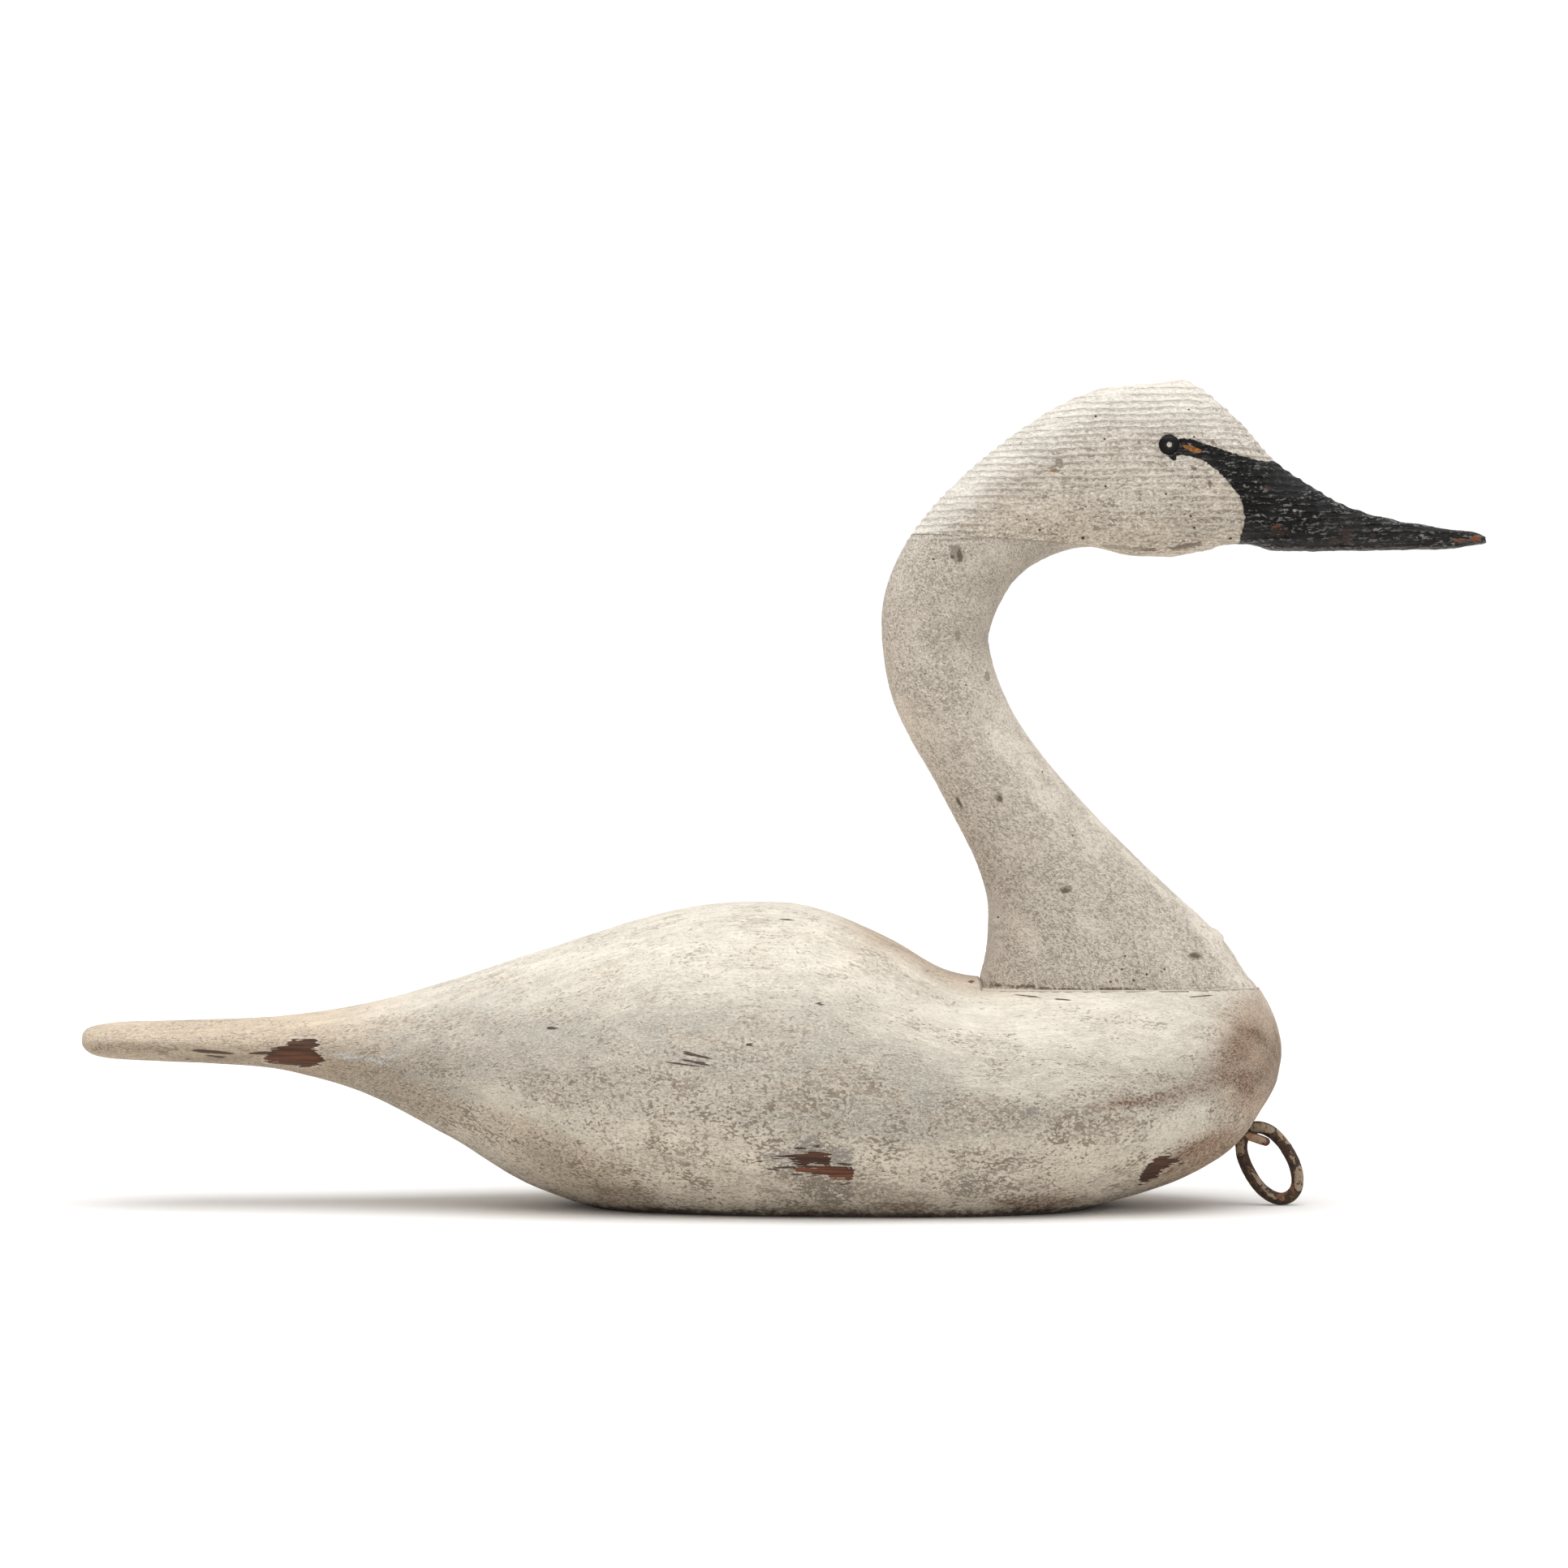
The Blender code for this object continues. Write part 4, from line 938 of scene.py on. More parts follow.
headPaint = {
    "pale": tone(255, 246, 232), "beige": tone(238, 224, 206), "hollow": tone(142, 125, 107),
    "pit": tone(84, 72, 62), "crest": tone(255, 250, 240), "grey": tone(178, 167, 151),
    "brown": tone(132, 108, 90), "orange": tone(200, 152, 100), "black": tone(15, 15, 16),
    "billGlint": tone(168, 167, 165), "billBrown": tone(90, 70, 60), "billBare": tone(150, 88, 54),
    "lozenge": tone(196, 136, 78), "lozengeDark": tone(150, 96, 50),
    "spacing": 0.0042, "wander": 0.0072, "breaks": 32.0,
    # The edge of the black paint, over the eye to the forehead, then back down to the chin: x and z in mm.
    "upper edge": [(238.2, 469.6), (243.8, 470.1), (248.8, 469.6), (252.5, 468.4), (257.5, 466.6),
                   (264.8, 464.3), (270.6, 462.5), (275, 460.7), (282.9, 458.9), (291, 457.4), (297.5, 457.3),
                   (302, 458.5)],
    "lower edge": [(238.2, 461.6), (245.9, 459.2), (251.7, 457.8), (256.1, 456.0), (260.4, 452.7),
                   (264.8, 450.1), (267.7, 446.9), (272.1, 442.5), (275, 438.9), (277.9, 435.3),
                   (279.7, 430.2), (280.8, 425.8), (281.5, 422.2), (280.8, 418.6), (280.4, 414.9),
                   (279.6, 410.6), (281, 402)],
    "beyond": [(345, 462), (450, 440), (450, 390), (281, 390)],
    "lozenge outline": [(240.8, 466.4), (244.5, 466.1), (248.8, 465.5), (252.4, 464.1), (255.4, 462.5),
                        (253.9, 461.1), (251, 460.9), (248.1, 461.9), (244.8, 463.7), (241.9, 465.4)],
    "drips marks": [(236.6, 459.9, 2.8, 2.4, 0), (237.6, 458.2, 1.6, 2.0, 6), (239.4, 461.4, 4.2, 1.8, 0)],
    "chips": [(167.6, 455.2, 2.4, 3.2, 20), (164.4, 451.6, 2.2, 1.8, 0), (218, 403.5, 6, 1.2, -3),
              (205, 404.6, 11, 1.2, -6), (143, 423, 1.2, 1.0, 0)],
    "orange marks": [(165.0, 450.4, 3.0, 1.2, 4)],
    "brown marks": [(244.5, 405.0, 9.5, 1.9, 7), (253, 406.6, 3.5, 1.6, 0), (225, 403, 6, 1.0, 0),
                    (249.3, 452.0, 2.4, 1.5, -35), (259.6, 441.8, 1.6, 3.0, 4), (262, 467.5, 3.0, 1.6, -35)],
    "pinholes": [(190.2, 483.9, 0.9, 0.9, 0), (195.4, 469.7, 0.9, 0.8, 0), (195.9, 441, 0.9, 0.9, 0),
                 (148, 420.9, 0.8, 0.7, 0), (156, 414.6, 1.0, 0.9, 0), (247, 488, 0.8, 0.6, 0),
                 (232.8, 436.2, 0.9, 0.7, 0), (248.0, 422.8, 0.9, 0.9, 0), (250.5, 415.9, 0.9, 0.9, 30),
                 (183, 410, 1.4, 1.2, 0), (273.6, 410.0, 1.3, 0.8, 15), (250, 471, 0.9, 0.7, 0)],
    "billChips marks": [(344.7, 413, 4.6, 5.2, 0), (338, 409, 5, 2.2, 0), (303, 413.5, 5.2, 4.6, 0),
                        (318, 431, 3.2, 1.5, 0), (296, 440, 4.4, 1.6, -8), (361, 412.5, 2.6, 2.0, 0),
                        (302, 417, 5.5, 1.4, 0)],
    "billWear marks": [(413.5, 409.4, 5.6, 1.0, 0), (424, 410.2, 4.2, 2.2, 0), (301, 417.3, 3.2, 0.8, 0)],
    "pressed": [(166.4, 453.6, 4.0, 4.6, 0, -0.35), (259.3, 442.6, 2.2, 3.8, 0, -0.3),
                (344.7, 412, 5.0, 5.4, 0, -0.35), (303, 413.5, 5.6, 5.0, 0, -0.35)],
    "far chips": [(190, 440, 3.0, 2.4, 0), (232, 428, 2.2, 3.0, 0)],
}


def billField(points):
    return outlineField(points, headPaint["upper edge"] + headPaint["beyond"] + headPaint["lower edge"][::-1])


def headMaterial():
    made, plan, shader = newMaterial("head and bill paint")
    values = headPaint
    where = plan.put("ShaderNodeTexCoord").outputs["Object"]
    grainShare = numbers(plan, "grainShare")
    bill = numbers(plan, "billPaint")
    height = plan.parts(where)[2]
    cloud = plan.pattern(where, (14.0, 14.0, 22.0), 4.0, 0.55, 0.3)
    patchy = plan.pattern(where, (50.0, 50.0, 80.0), 4.0, 0.6, 0.5)
    soft, line, under = raisedGrain(plan, where, values["spacing"], values["wander"], values["breaks"])
    soft = plan.times(soft, grainShare)
    line = plan.times(line, grainShare)
    high = plan.scaled(plan.centred(cloud), 0.10, height)
    colour = plan.blend(plan.span(high, 0.400, 0.475), values["beige"], values["pale"])
    # Painted highlight: the top of the head behind the bill painted near white where the top light falls; it
    # also thins the dirt and relief there.
    rim = plan.times(plan.span(numbers(plan, "across"), 0.1, 0.8),
                     plan.span(plan.parts(where)[0], 0.29, 0.25))
    colour = plan.blend(plan.times(rim, 0.9), colour, values["crest"])
    fine = useGroup(plan, paintGrain, Where=plan.move("MULTIPLY", where, (0.7, 0.8, 1.0)), Size=0.0013)
    coarse = useGroup(plan, paintGrain, Where=plan.move("MULTIPLY", where, (0.5, 0.7, 1.0)), Size=0.0021)
    worn = plan.span(patchy, 0.36, 0.62, 0.7, 1.0)
    # Grain hollows darker, dirt and painted shade, with a painted shadow under each raised crest; grain crests
    # and crest lines paler, a painted highlight.
    dirtAndShade = plan.times(plan.most(plan.times(fine[1], 0.8), coarse[1]), worn)
    dirtAndShade = plan.times(dirtAndShade, plan.scaled(soft, -0.5, 1.0))
    below = plan.times(plan.times(under, grainShare), plan.span(fine[0], 0.1, 0.9, 0.9, 0.25))
    dirtAndShade = plan.times(plan.most(dirtAndShade, below), plan.scaled(rim, -0.55, 1.0))
    colour = plan.blend(plan.times(dirtAndShade, 0.82), colour, values["hollow"])
    colour = plan.blend(plan.times(plan.times(fine[2], worn), 0.9), colour, values["crest"])
    brighter = plan.times(line, plan.span(fine[0], 0.15, 0.7, 0.5, 1.0))
    colour = plan.blend(brighter, colour, values["crest"])
    colour = plan.blend(plan.times(coarse[3], plan.times(worn, 0.5)), colour, values["hollow"])

    torn = plan.calc("SUBTRACT", plan.noise(plan.move("MULTIPLY", where, (0.8, 0.9, 1.2)), 400.0, 4.0, 0.65),
                     0.5)
    chips = plan.span(plan.scaled(torn, 1.6, numbers(plan, "chips")), 0.0, 0.12)
    colour = plan.blend(plan.times(chips, 0.8), colour, values["grey"])
    orange = plan.span(plan.scaled(torn, 1.6, numbers(plan, "orange")), 0.0, 0.4, 0.0, 0.85)
    colour = plan.blend(orange, colour, values["orange"])
    brown = plan.span(plan.scaled(torn, 2.0, numbers(plan, "brown")), 0.0, 0.4)
    colour = plan.blend(plan.times(brown, 0.75), colour, values["brown"])
    pins = plan.span(gatherMarks(plan, where, "head", values["pinholes"], nearSide), 0.0, 0.4)
    colour = plan.blend(pins, colour, values["pit"])

    crust = plan.pattern(where, (260.0, 300.0, 520.0), 3.0, 0.6, 0.8)
    edge = plan.scaled(plan.centred(plan.noise(where, 520.0, 4.0, 0.7)), 3.4, bill)
    drips = plan.scaled(torn, 0.7, numbers(plan, "drips"))
    black = plan.most(plan.span(edge, -0.1, 0.3), plan.span(drips, 0.0, 0.15))
    lines = plan.pattern(where, (60.0, 90.0, 420.0), 3.0, 0.6, 0.3)
    sleek = plan.span(plan.pattern(where, (24.0, 40.0, 50.0), 2.0), 0.46, 0.60)
    # Painted glints: pale flecks on the crusty black where its ridges would catch the light.
    glints = plan.times(plan.span(crust, 0.52, 0.58), plan.most(plan.span(lines, 0.47, 0.57), line))
    glints = plan.times(glints, plan.scaled(sleek, -0.75, 1.0))
    dark = plan.blend(plan.times(glints, 0.8), values["black"], values["billGlint"])
    splintered = plan.centred(plan.pattern(where, (150.0, 150.0, 480.0), 4.0, 0.65))
    billChips = plan.span(plan.scaled(splintered, 2.6, numbers(plan, "billChips")), 0.0, 0.3)
    dark = plan.blend(plan.times(billChips, 0.35), dark, values["billBrown"])
    wear = plan.span(plan.scaled(splintered, 2.4, numbers(plan, "billWear")), 0.0, 0.3)
    dark = plan.blend(plan.times(wear, 0.8), dark, values["billBare"])
    colour = plan.blend(black, colour, dark)
    lozenge = plan.span(plan.scaled(torn, 1.6, numbers(plan, "lozenge")), 0.0, 0.3)
    colour = plan.blend(lozenge, colour, plan.blend(plan.span(fine[0], 0.6, 0.2), values["lozenge"],
                                                    values["lozengeDark"]))
    black = plan.times(black, plan.calc("SUBTRACT", 1.0, lozenge))

    light = plan.times(plan.scaled(fine[0], 1.2, plan.times(coarse[0], 0.8)), worn)
    light = plan.times(plan.scaled(line, 1.1, light), plan.scaled(rim, -0.4, 1.0))
    light = plan.scaled(plan.most(chips, pins), -0.45, light)
    rough = plan.scaled(crust, 4.5, plan.scaled(lines, 1.8, plan.times(line, 1.2)))
    rough = plan.times(rough, plan.scaled(sleek, -0.7, 1.0))
    relief = plan.calc("ADD", plan.times(light, plan.calc("SUBTRACT", 1.0, black)), plan.times(black, rough))
    dress(plan, shader, colour, plan.span(black, 0.0, 1.0, 0.68, 0.40), relief)
    shader.inputs["Specular IOR Level"].default_value = 0.3
    return made


bodyShape = {
    "rowStep": 0.0026, "sides": 258, "seatHeight": 0.1345, "seatBack": 0.1199,
    "pressed": [
        (-299, 94.6, 21, 4.6, 0, -0.7), (-291, 99.5, 10, 6.8, 0, -0.5), (24, 29.8, 17, 3.2, 0, -0.8),
        (18, 40, 12, 4.5, 0, -0.6), (224.5, 27.5, 11, 4.2, 32, -1.6), (238, 30, 9, 4.0, 25, -0.7),
        (-74, 140.5, 8.0, 1.2, 32, 0.45), (135, 5, 11, 5, 5, -0.7), (-60, 143, 10, 1.0, 6, 0.35),
    ],
}


def makeBody():
    values = bodyShape
    mesh, points = makeLoft("body carving", bodySections, values["rowStep"], values["sides"])
    giveNumbers(mesh, "pressed", pressMarks(points, values["pressed"], nearSide))
    giveNumbers(mesh, "grainShare", np.zeros(len(points)))
    bare = markNumbers(points, bodyPaint["far bare"], farSide) * 3
    for outline in bodyPaint["patches"]:
        bare = np.maximum(bare, outlineField(points, outline, nearSide))
    giveField(mesh, "bare", bare)
    rows = np.array(bodySections)
    ridge = np.interp(points[:, 0], rows[:, 0] * mm, rows[:, 1] * mm)
    follow = smoothStep(points[:, 2] / ridge, 0.45, 1.0)
    giveNumbers(mesh, "brushed", points[:, 2] - follow * (ridge - 0.187))
    crumbled = markNumbers(points, bodyPaint["primer marks"], nearSide) * 4 - 1.8
    giveField(mesh, "primer", np.maximum(outlineField(points, bodyPaint["primer outline"], nearSide),
                                         crumbled))
    for name in ("stain", "blue"):
        giveField(mesh, name, markNumbers(points, bodyPaint[name + " marks"], nearSide))
    giveNumbers(mesh, "warm", markNumbers(points, bodyPaint["warm marks"], nearSide))
    for name in ("light", "tan"):
        near = markNumbers(points, bodyPaint[name + " marks"], nearSide)
        giveNumbers(mesh, name, markNumbers(points, bodyPaint[name + " marks"], farSide, near))
    live = show("body carving", mesh)
    finish = bodyMaterial()
    addTree(live, carvedRelief, FlatDepth=0.0012, FlatSize=0.045, BumpHeight=0.0004, BumpSize=0.009, Seed=4,
            Finish=finish)
    back = values["seatBack"]
    takeAway(live, boxCutter("base cutter", (-0.5, -0.2, -0.1), (0.5, 0.2, 0)),
             boxCutter("seat cutter", (back, -0.2, values["seatHeight"]), (0.5, 0.2, 0.3)),
             tubeCutter("ring nick", ringRoute(), ringShape["radius"] + ringShape["clearance"], 24, True),
             tubeCutter("staple holes", stapleRoute(), stapleShape["radius"] + stapleShape["clearance"], 20,
                        False))
    piece = settle("body_carving", live, finish, carvedEdge)
    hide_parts("body")
    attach(piece, "root")


seam = {
    "nape": Vector((0.080, 0, 0.413)), "throat": Vector((0.188, 0, 0.4060)), "underChin": 0.385,
}


def seamCutters(below):                                  # takes away what is below the glue line, or above it
    run = seam["throat"] - seam["nape"]
    turn = Matrix.Translation(seam["nape"]) @ Matrix.Rotation(-math.atan2(run.z, run.x), 4, "Y")
    if below:
        return [boxCutter("below the seam", (-0.15, -0.15, -0.3), (run.length, 0.15, 0), turn),
                boxCutter("under the chin", (0, -0.1, 0), (0.45, 0.1, seam["underChin"]))]
    return [boxCutter("above the seam", (-0.15, -0.15, 0), (0.45, 0.15, 0.3), turn),
            boxCutter("beyond the throat", (seam["throat"].x, -0.05, seam["underChin"]), (0.45, 0.05, 0.52))]


neckAndHeadRelief = {                                    # one relief for both, to run on across the glue line
    "FlatDepth": 0.0008, "FlatSize": 0.024, "BumpHeight": 0.0008, "BumpSize": 0.0034, "GrainHeight": 0.0009,
    "Seed": 0,
    "GrainSpacing": headPaint["spacing"], "GrainWander": headPaint["wander"],
    "GrainBreaks": headPaint["breaks"],
}
neckShape = {"rowStep": 0.00115, "sides": 252, "lastSection": 20}


def grainReach(points):                                  # the raised grain fades at the throat and the cheek
    throat = np.hypot((points[:, 0] - 0.176) / 0.055, (points[:, 2] - 0.408) / 0.032)
    cheek = np.hypot((points[:, 0] - 0.215) / 0.05, (points[:, 2] - 0.432) / 0.03)
    return smoothStep(throat, 0.75, 1.25) * (0.72 + 0.28 * smoothStep(cheek, 0.4, 1.2))


def makeNeck():
    values = neckShape
    mesh, points = makeLoft("neck carving", neckSections[:values["lastSection"]], values["rowStep"],
                            values["sides"])
    giveNumbers(mesh, "pressed", pressMarks(points, neckPaint["pressed"], nearSide))
    seamRun = (seam["throat"].z - seam["nape"].z) / (seam["throat"].x - seam["nape"].x)
    under = seam["nape"].z + (points[:, 0] - seam["nape"].x) * seamRun - points[:, 2]
    giveNumbers(mesh, "grainShare", smoothStep(under, 0.0062, 0.0026) * grainReach(points))
    giveNumbers(mesh, "puttyAndHighlight", markNumbers(points, neckPaint["putty marks"], nearSide))
    near = markNumbers(points, neckPaint["chips"], nearSide)
    giveNumbers(mesh, "chips", markNumbers(points, neckPaint["far chips"], farSide, near))
    giveNumbers(mesh, "brown", markNumbers(points, neckPaint["brown marks"], nearSide))
    giveNumbers(mesh, "seamDirt", markNumbers(points, neckPaint["seam dirt"], nearSide))
    live = show("neck carving", mesh)
    finish = neckMaterial()
    addTree(live, carvedRelief, Finish=finish, **neckAndHeadRelief)
    foot = boxCutter("neck foot", (0, -0.2, 0), (0.5, 0.2, bodyShape["seatHeight"] - 0.0002))
    takeAway(live, foot, *seamCutters(False))
    piece = settle("neck_carving", live, finish, carvedEdge)
    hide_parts("neck")
    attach(piece, "root")


headShape = {"rowStep": 0.0015, "sides": 330, "firstSection": 10}


def makeHead():
    values = headShape
    mesh, points = makeLoft("head carving", neckSections[values["firstSection"]:], values["rowStep"],
                            values["sides"])
    black = billField(points)
    giveNumbers(mesh, "grainShare", grainReach(points) * (1 - 0.25 * smoothStep(black, -1.5, 1.5)))
    giveNumbers(mesh, "billPaint", black)
    near = markNumbers(points, headPaint["chips"], nearSide)
    giveNumbers(mesh, "chips", markNumbers(points, headPaint["far chips"], farSide, near))
    for name in ("orange", "brown", "drips"):
        giveNumbers(mesh, name, markNumbers(points, headPaint[name + " marks"], nearSide))
    for name in ("billChips", "billWear"):
        near = markNumbers(points, headPaint[name + " marks"], nearSide)
        giveNumbers(mesh, name, markNumbers(points, headPaint[name + " marks"], farSide, near))
    giveNumbers(mesh, "lozenge", outlineField(points, headPaint["lozenge outline"]))
    crust = 0.00035 * smoothStep(black, -0.6, 1.0)
    giveNumbers(mesh, "pressed", pressMarks(points, headPaint["pressed"], nearSide) + crust)
    live = show("head carving", mesh)
    finish = headMaterial()
    addTree(live, carvedRelief, Finish=finish, **neckAndHeadRelief)
    takeAway(live, *seamCutters(True), discCutter(nearSide), discCutter(farSide))
    piece = settle("head_carving", live, finish, carvedEdge)
    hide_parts("head")
    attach(piece, "root")


eyeShape = {
    "x": 0.2346, "z": 0.4662, "radius": 0.006, "seat": 0.0318, "gap": 0.0003, "sides": 72,
    # The tack's turned outline, as shares of its radius and height: a dimple, a raised ring, the dome's edge.
    "outline": [(0.0, 0.62), (0.14, 0.64), (0.24, 0.74), (0.33, 0.93), (0.43, 1.0), (0.53, 0.99),
                (0.62, 0.92), (0.72, 0.84), (0.82, 0.73), (0.90, 0.60), (0.96, 0.44), (1.0, 0.24),
                (1.0, 0.0)],
    # The fleck tone is the painted catch-light.
    "height": 0.0037, "black": tone(11, 11, 12), "grey": tone(48, 47, 46), "fleck": tone(222, 216, 206),
}


def discCutter(side):
    values = eyeShape
    form = bmesh.new()
    radius = values["radius"] + values["gap"]
    bmesh.ops.create_cone(form, cap_ends=True, segments=64, radius1=radius, radius2=radius, depth=0.05)
    turn = Matrix.Rotation(math.pi / 2, 4, "X")
    place = Matrix.Translation((values["x"], side * (values["seat"] + 0.025), values["z"]))
    bmesh.ops.transform(form, matrix=place @ turn, verts=form.verts)
    return show("eye socket " + ("near" if side < 0 else "far"), meshOf(form, "eye socket"), False)


def eyeMaterial():
    made, plan, shader = newMaterial("black enamel tack")
    values = eyeShape
    where = plan.put("ShaderNodeTexCoord").outputs["Object"]
    flat = plan.move("MULTIPLY", plan.move("SUBTRACT", where, (values["x"], 0, values["z"])), (1, 0, 1))
    far = plan.calc("DIVIDE", plan.move("LENGTH", flat), values["radius"])
    grit = plan.noise(where, 900.0, 4.0, 0.65)
    uneven = plan.scaled(plan.centred(grit), 0.22, far)
    rubbed = plan.times(plan.span(uneven, 0.30, 0.40), plan.gate(uneven, 0.50, 0.60))
    colour = plan.blend(plan.times(rubbed, plan.span(grit, 0.4, 0.6)), values["black"], values["grey"])
    # The off-white centre is a painted highlight: the catch-light in the dome.
    colour = plan.blend(plan.gate(uneven, 0.22, 0.30), colour, values["fleck"])
    dress(plan, shader, colour, plan.span(grit, 0.35, 0.7, 0.28, 0.5), grit, 0.0003, 0.6)
    shader.inputs["Specular IOR Level"].default_value = 0.2
    return made


def makeEyes():
    values = eyeShape
    finish = eyeMaterial()
    for side, node in ((nearSide, "eye_right"), (farSide, "eye_left")):
        form = bmesh.new()
        floor = values["seat"] + values["gap"]
        rings = []
        for across, height in values["outline"]:
            out = side * (floor + height * (values["height"] - values["gap"]))
            ring = []
            for step in range(values["sides"] if across else 1):
                angle = 2 * math.pi * step / values["sides"]
                spread = across * values["radius"] * (1 + 0.012 * math.sin(3 * angle + 1) - 0.012)
                ring.append(form.verts.new((values["x"] + spread * math.cos(angle), out,
                                            values["z"] + spread * math.sin(angle))))
            rings.append(ring)
        for ring, following in zip(rings, rings[1:]):
            for step in range(values["sides"]):
                after = (step + 1) % values["sides"]
                if len(ring) == 1:
                    form.faces.new((ring[0], following[step], following[after]))
                else:
                    form.faces.new((ring[step], following[step], following[after], ring[after]))
        form.faces.new(rings[-1])
        bmesh.ops.recalc_face_normals(form, faces=form.faces)
        mesh = meshOf(form, node + "_tack")
        mesh.materials.append(finish)
        mesh.shade_smooth()
        mesh.set_sharp_from_angle(angle=math.radians(50))
        piece = show(node + "_tack", mesh)
        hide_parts(node)
        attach(piece, "root")


ringShape = {
    "centre": Vector((0.2991, 0, 0.0260)), "halfLength": 0.0240, "halfWidth": 0.0136, "lean": -59.5,
    "squareness": 2.15,
    "radius": 0.0038, "points": 64, "clearance": 0.0006,
    "rust": tone(80, 62, 50), "bloom": tone(140, 98, 70), "paint": tone(160, 143, 121),
    # Where old paint is left on the near side and rust has bloomed: x, z, half length, half height, turn.
    "paint marks": [(280.8, 36.2, 3.2, 6.4, -8), (294.0, 47.6, 9.5, 3.2, -6), (307.4, 42.4, 6.5, 2.0, -47),
                    (293.0, 14.8, 9.5, 1.5, -52), (317.0, 17.0, 3.4, 9.0, 0), (300.5, 6.2, 3.5, 1.2, -30),
                    (312.8, 30.0, 1.1, 5.0, 20)],
    "bloom marks": [(284.6, 43.0, 1.8, 3.4, -10), (312.9, 11.4, 1.3, 4.6, 8), (306.4, 7.0, 5.0, 1.5, 20),
                    (308.6, 40.6, 2.2, 1.2, -40)],
}
stapleShape = {
    "tip": Vector((0.2968, 0, 0.0392)), "drop": 19, "halfSpan": 0.0070, "radius": 0.00265, "leg": 0.0215,
    "bendPoints": 17,
    "clearance": 0.0006, "rust": tone(104, 72, 54), "bloom": tone(160, 112, 82), "paint": tone(168, 142, 118),
    "paint marks": [(290.5, 41.4, 7.5, 3.0, -17)],
    "bloom marks": [(286.2, 43.2, 1.4, 3.0, 0), (291.4, 40.9, 0.9, 0.9, 0)],
}


def ringRoute():
    values = ringShape
    lean = math.radians(values["lean"])
    longWay = Vector((math.cos(lean), 0, math.sin(lean)))
    shortWay = Vector((-math.sin(lean), 0, math.cos(lean)))
    power = 2 / values["squareness"]
    route = []
    for step in range(values["points"]):
        angle = 2 * math.pi * step / values["points"]
        along = math.copysign(abs(math.cos(angle)) ** power, math.cos(angle)) * values["halfLength"]
        over = math.copysign(abs(math.sin(angle)) ** power, math.sin(angle)) * values["halfWidth"]
        route.append(values["centre"] + longWay * along + shortWay * over)
    return route


def stapleRoute():
    values = stapleShape
    drop = math.radians(values["drop"])
    outwards = Vector((math.cos(drop), 0, -math.sin(drop)))
    sideways = Vector((0, values["halfSpan"], 0))
    bend = values["tip"] - outwards * values["halfSpan"]
    route = [bend - outwards * values["leg"] - sideways]
    for step in range(values["bendPoints"]):
        angle = math.pi * (step / (values["bendPoints"] - 1) - 0.5)
        route.append(bend + (outwards * math.cos(angle) + Vector((0, math.sin(angle),
                                                                  0))) * values["halfSpan"])
    route.append(bend - outwards * values["leg"] + sideways)
    return route


def ironMaterial(name, node, values, paintShare):
    made, plan, shader = newMaterial(name)
    where = plan.put("ShaderNodeTexCoord").outputs["Object"]
    ragged = raggedPlace(plan, where, (330.0, 330.0, 330.0), (0.0042, 0.0, 0.0042))
    paint = plan.span(gatherMarks(plan, ragged, node, values["paint marks"], nearSide), -0.05, 0.15,
                      paintShare, 0.95)
    iron = useGroup(plan, oldIron, Where=where, PaintShare=paint, Rust=values["rust"], Bloom=values["bloom"],
                    Paint=values["paint"])
    bloom = plan.span(gatherMarks(plan, ragged, node, values["bloom marks"], nearSide), 0.0, 0.4)
    colour = plan.blend(plan.times(bloom, 0.7), iron["Color"], values["bloom"])
    dress(plan, shader, colour, iron["Roughness"], iron["Height"], 0.0005)
    shader.inputs["Metallic"].default_value = 0.1
    return made


def makeWire(name, node, route, closed, finish, **values):
    curve = bpy.data.curves.new(name, "CURVE")
    curve.dimensions = "3D"
    spline = curve.splines.new("POLY")
    spline.points.add(len(route) - 1)
    for spot, point in zip(spline.points, route):
        spot.co = (*point, 1)
    spline.use_cyclic_u = closed
    live = show(name + " line", curve)
    addTree(live, forgedWire, Finish=finish, **values)
    piece = settle(name, live, finish, 60)
    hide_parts(node)
    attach(piece, "root")


makeBody()
makeNeck()
makeHead()
makeEyes()
makeWire("anchor_ring", "line_ring", ringRoute(), True,
         ironMaterial("rusted ring", "line_ring", ringShape, 0.22),
         Radius=ringShape["radius"], Wander=0.0007, PitDepth=0.0004, Seed=3)
makeWire("breast_staple", "staple", stapleRoute(), False,
         ironMaterial("rusted staple", "staple", stapleShape, 0.4),
         Radius=stapleShape["radius"], Wander=0.0003, PitDepth=0.0004, PitSize=0.0018, Seed=6)
print("pieces placed")

studio = {
    "floorSize": 12.0, "floorTone": tone(254, 254, 254), "bounceTone": tone(228, 225, 220),
    "worldLight": 0.32,
    "sideLight": 0.62, "topLight": 0.46, "keyStrength": 1.70, "keyTilt": 17.0, "keySpread": 66.0,
    "cameraDistance": 3.0, "cameraHeight": 0.2595, "focalPixels": 6000, "picturePixels": 1932, "sensor": 36.0,
}


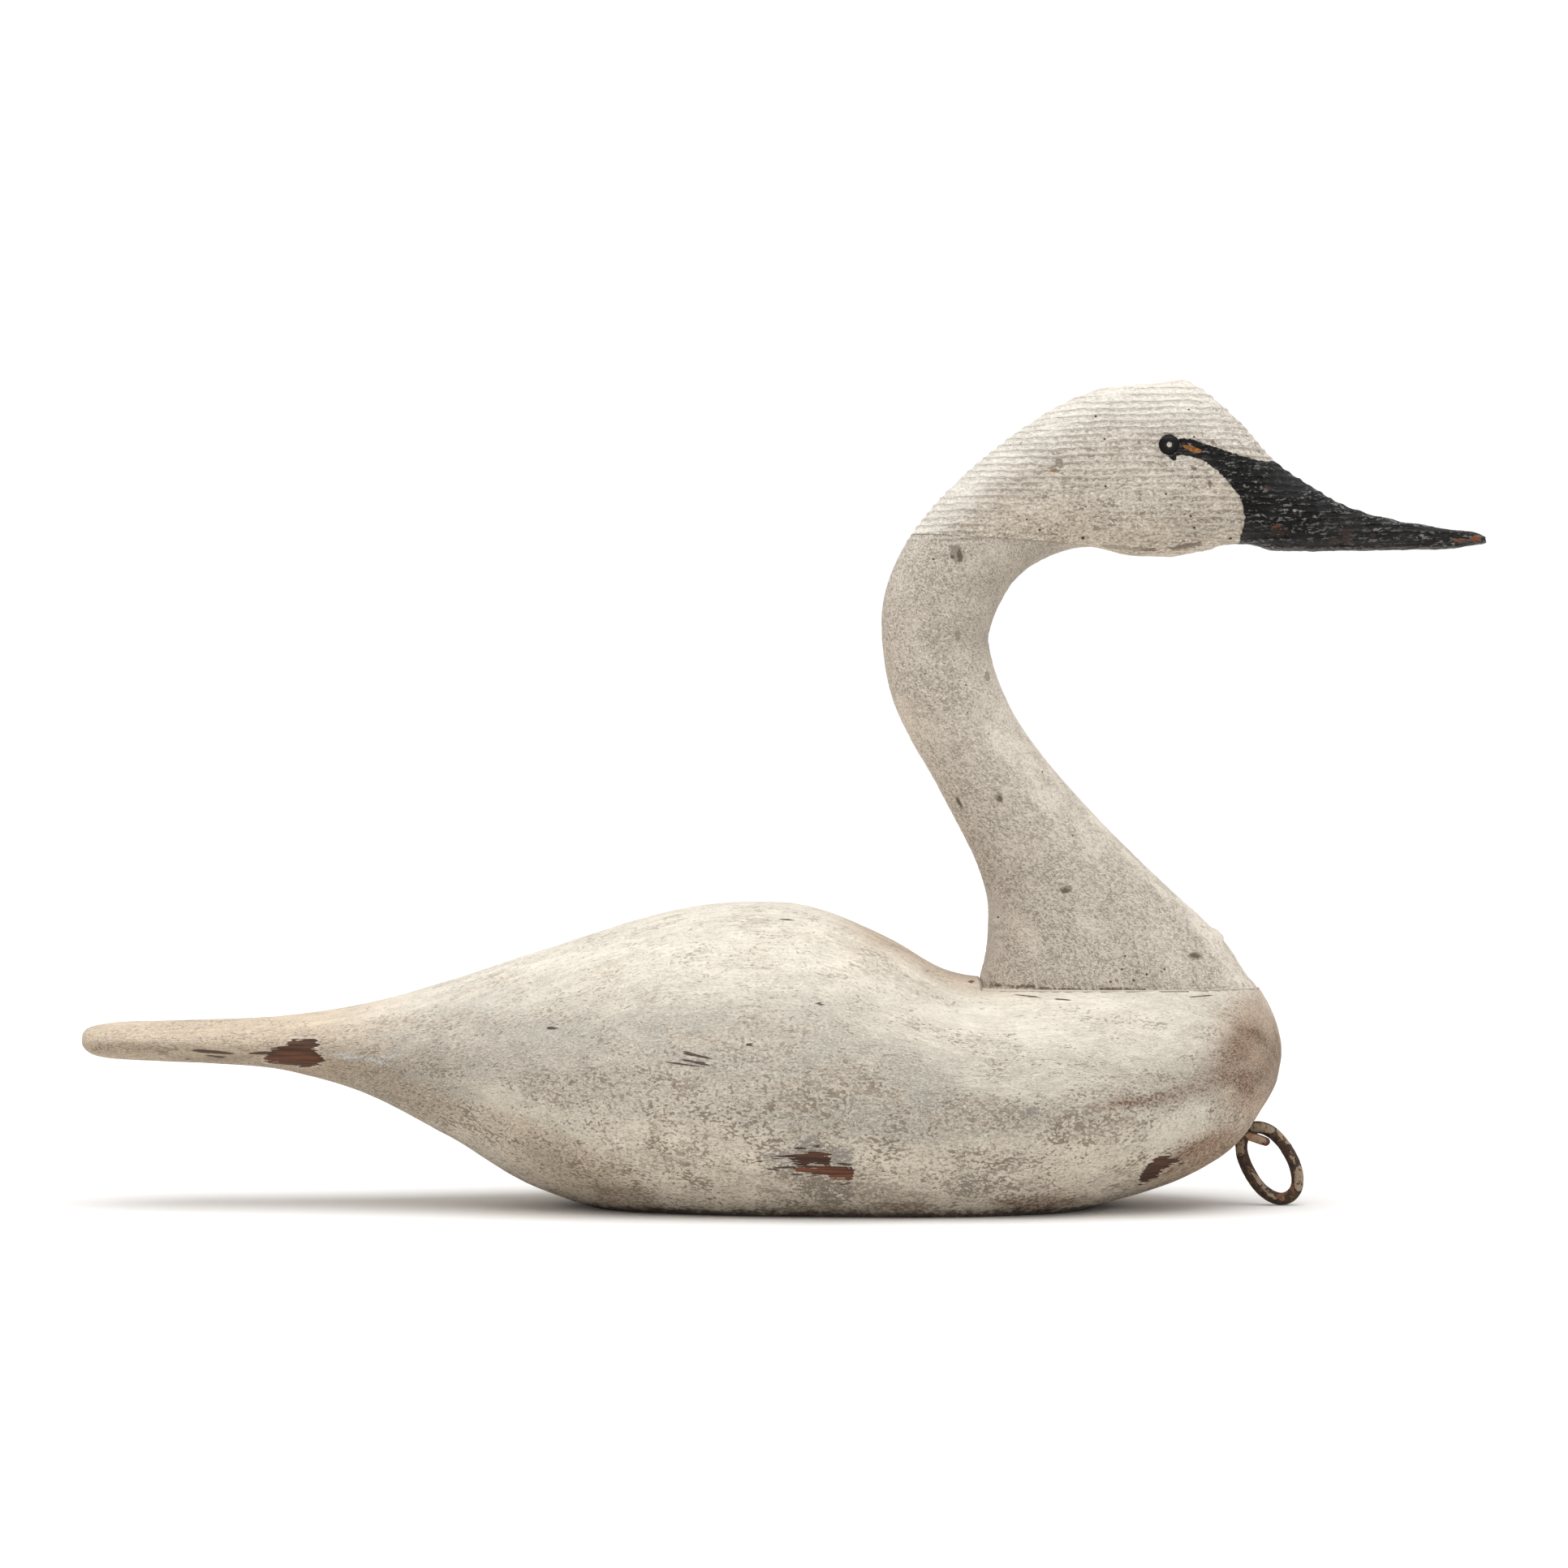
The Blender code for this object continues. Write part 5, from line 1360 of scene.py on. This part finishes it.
def makeStudio():
    values = studio
    half = values["floorSize"] / 2
    mesh = bpy.data.meshes.new("studio floor")
    mesh.from_pydata([(-half, -half, 0), (half, -half, 0), (half, half, 0), (-half, half, 0)], [],
                     [(0, 1, 2, 3)])
    floor = show("studio_floor", mesh)
    made, plan, shader = newMaterial("plain pale floor")
    seen = plan.put("ShaderNodeLightPath").outputs["Is Camera Ray"]
    plan.feed(shader.inputs["Base Color"], plan.blend(seen, values["bounceTone"], values["floorTone"]))
    shader.inputs["Roughness"].default_value = 0.9
    shader.inputs["Specular IOR Level"].default_value = 0.0
    mesh.materials.append(made)
    world = bpy.data.worlds.new("white studio")
    world.use_nodes = True
    bpy.context.scene.world = world
    plan = Plan(world.node_tree)
    seen = plan.put("ShaderNodeLightPath").outputs["Is Camera Ray"]
    light = world.node_tree.nodes["Background"]
    light.inputs["Color"].default_value = (1.0, 0.99, 0.982, 1)
    sideways, depthways, upwards = plan.parts(plan.put("ShaderNodeTexCoord").outputs["Generated"])
    around = plan.scaled(plan.times(sideways, sideways), values["sideLight"], values["worldLight"])
    around = plan.scaled(plan.times(upwards, upwards), values["topLight"], around)
    plan.feed(light.inputs["Strength"], plan.span(seen, 0.0, 1.0, around, 1.05, False))
    lamp = bpy.data.lights.new("top light", "SUN")
    lamp.energy = values["keyStrength"]
    lamp.angle = math.radians(values["keySpread"])
    lamp.color = (1.0, 0.99, 0.982)
    holder = bpy.data.objects.new("top light", lamp)
    holder.rotation_euler = (math.radians(values["keyTilt"]), 0, 0)
    bpy.context.scene.collection.objects.link(holder)
    camera = bpy.data.cameras.new("camera")
    camera.sensor_width = values["sensor"]
    camera.lens = values["sensor"] * values["focalPixels"] / values["picturePixels"]
    camera.clip_start = 0.05
    viewer = bpy.data.objects.new("camera", camera)
    viewer.location = (0, -values["cameraDistance"], values["cameraHeight"])
    viewer.rotation_euler = (math.pi / 2, 0, 0)
    bpy.context.scene.collection.objects.link(viewer)
    bpy.context.scene.camera = viewer
    bpy.context.scene.view_settings.view_transform = "Standard"


makeStudio()
print("studio ready")
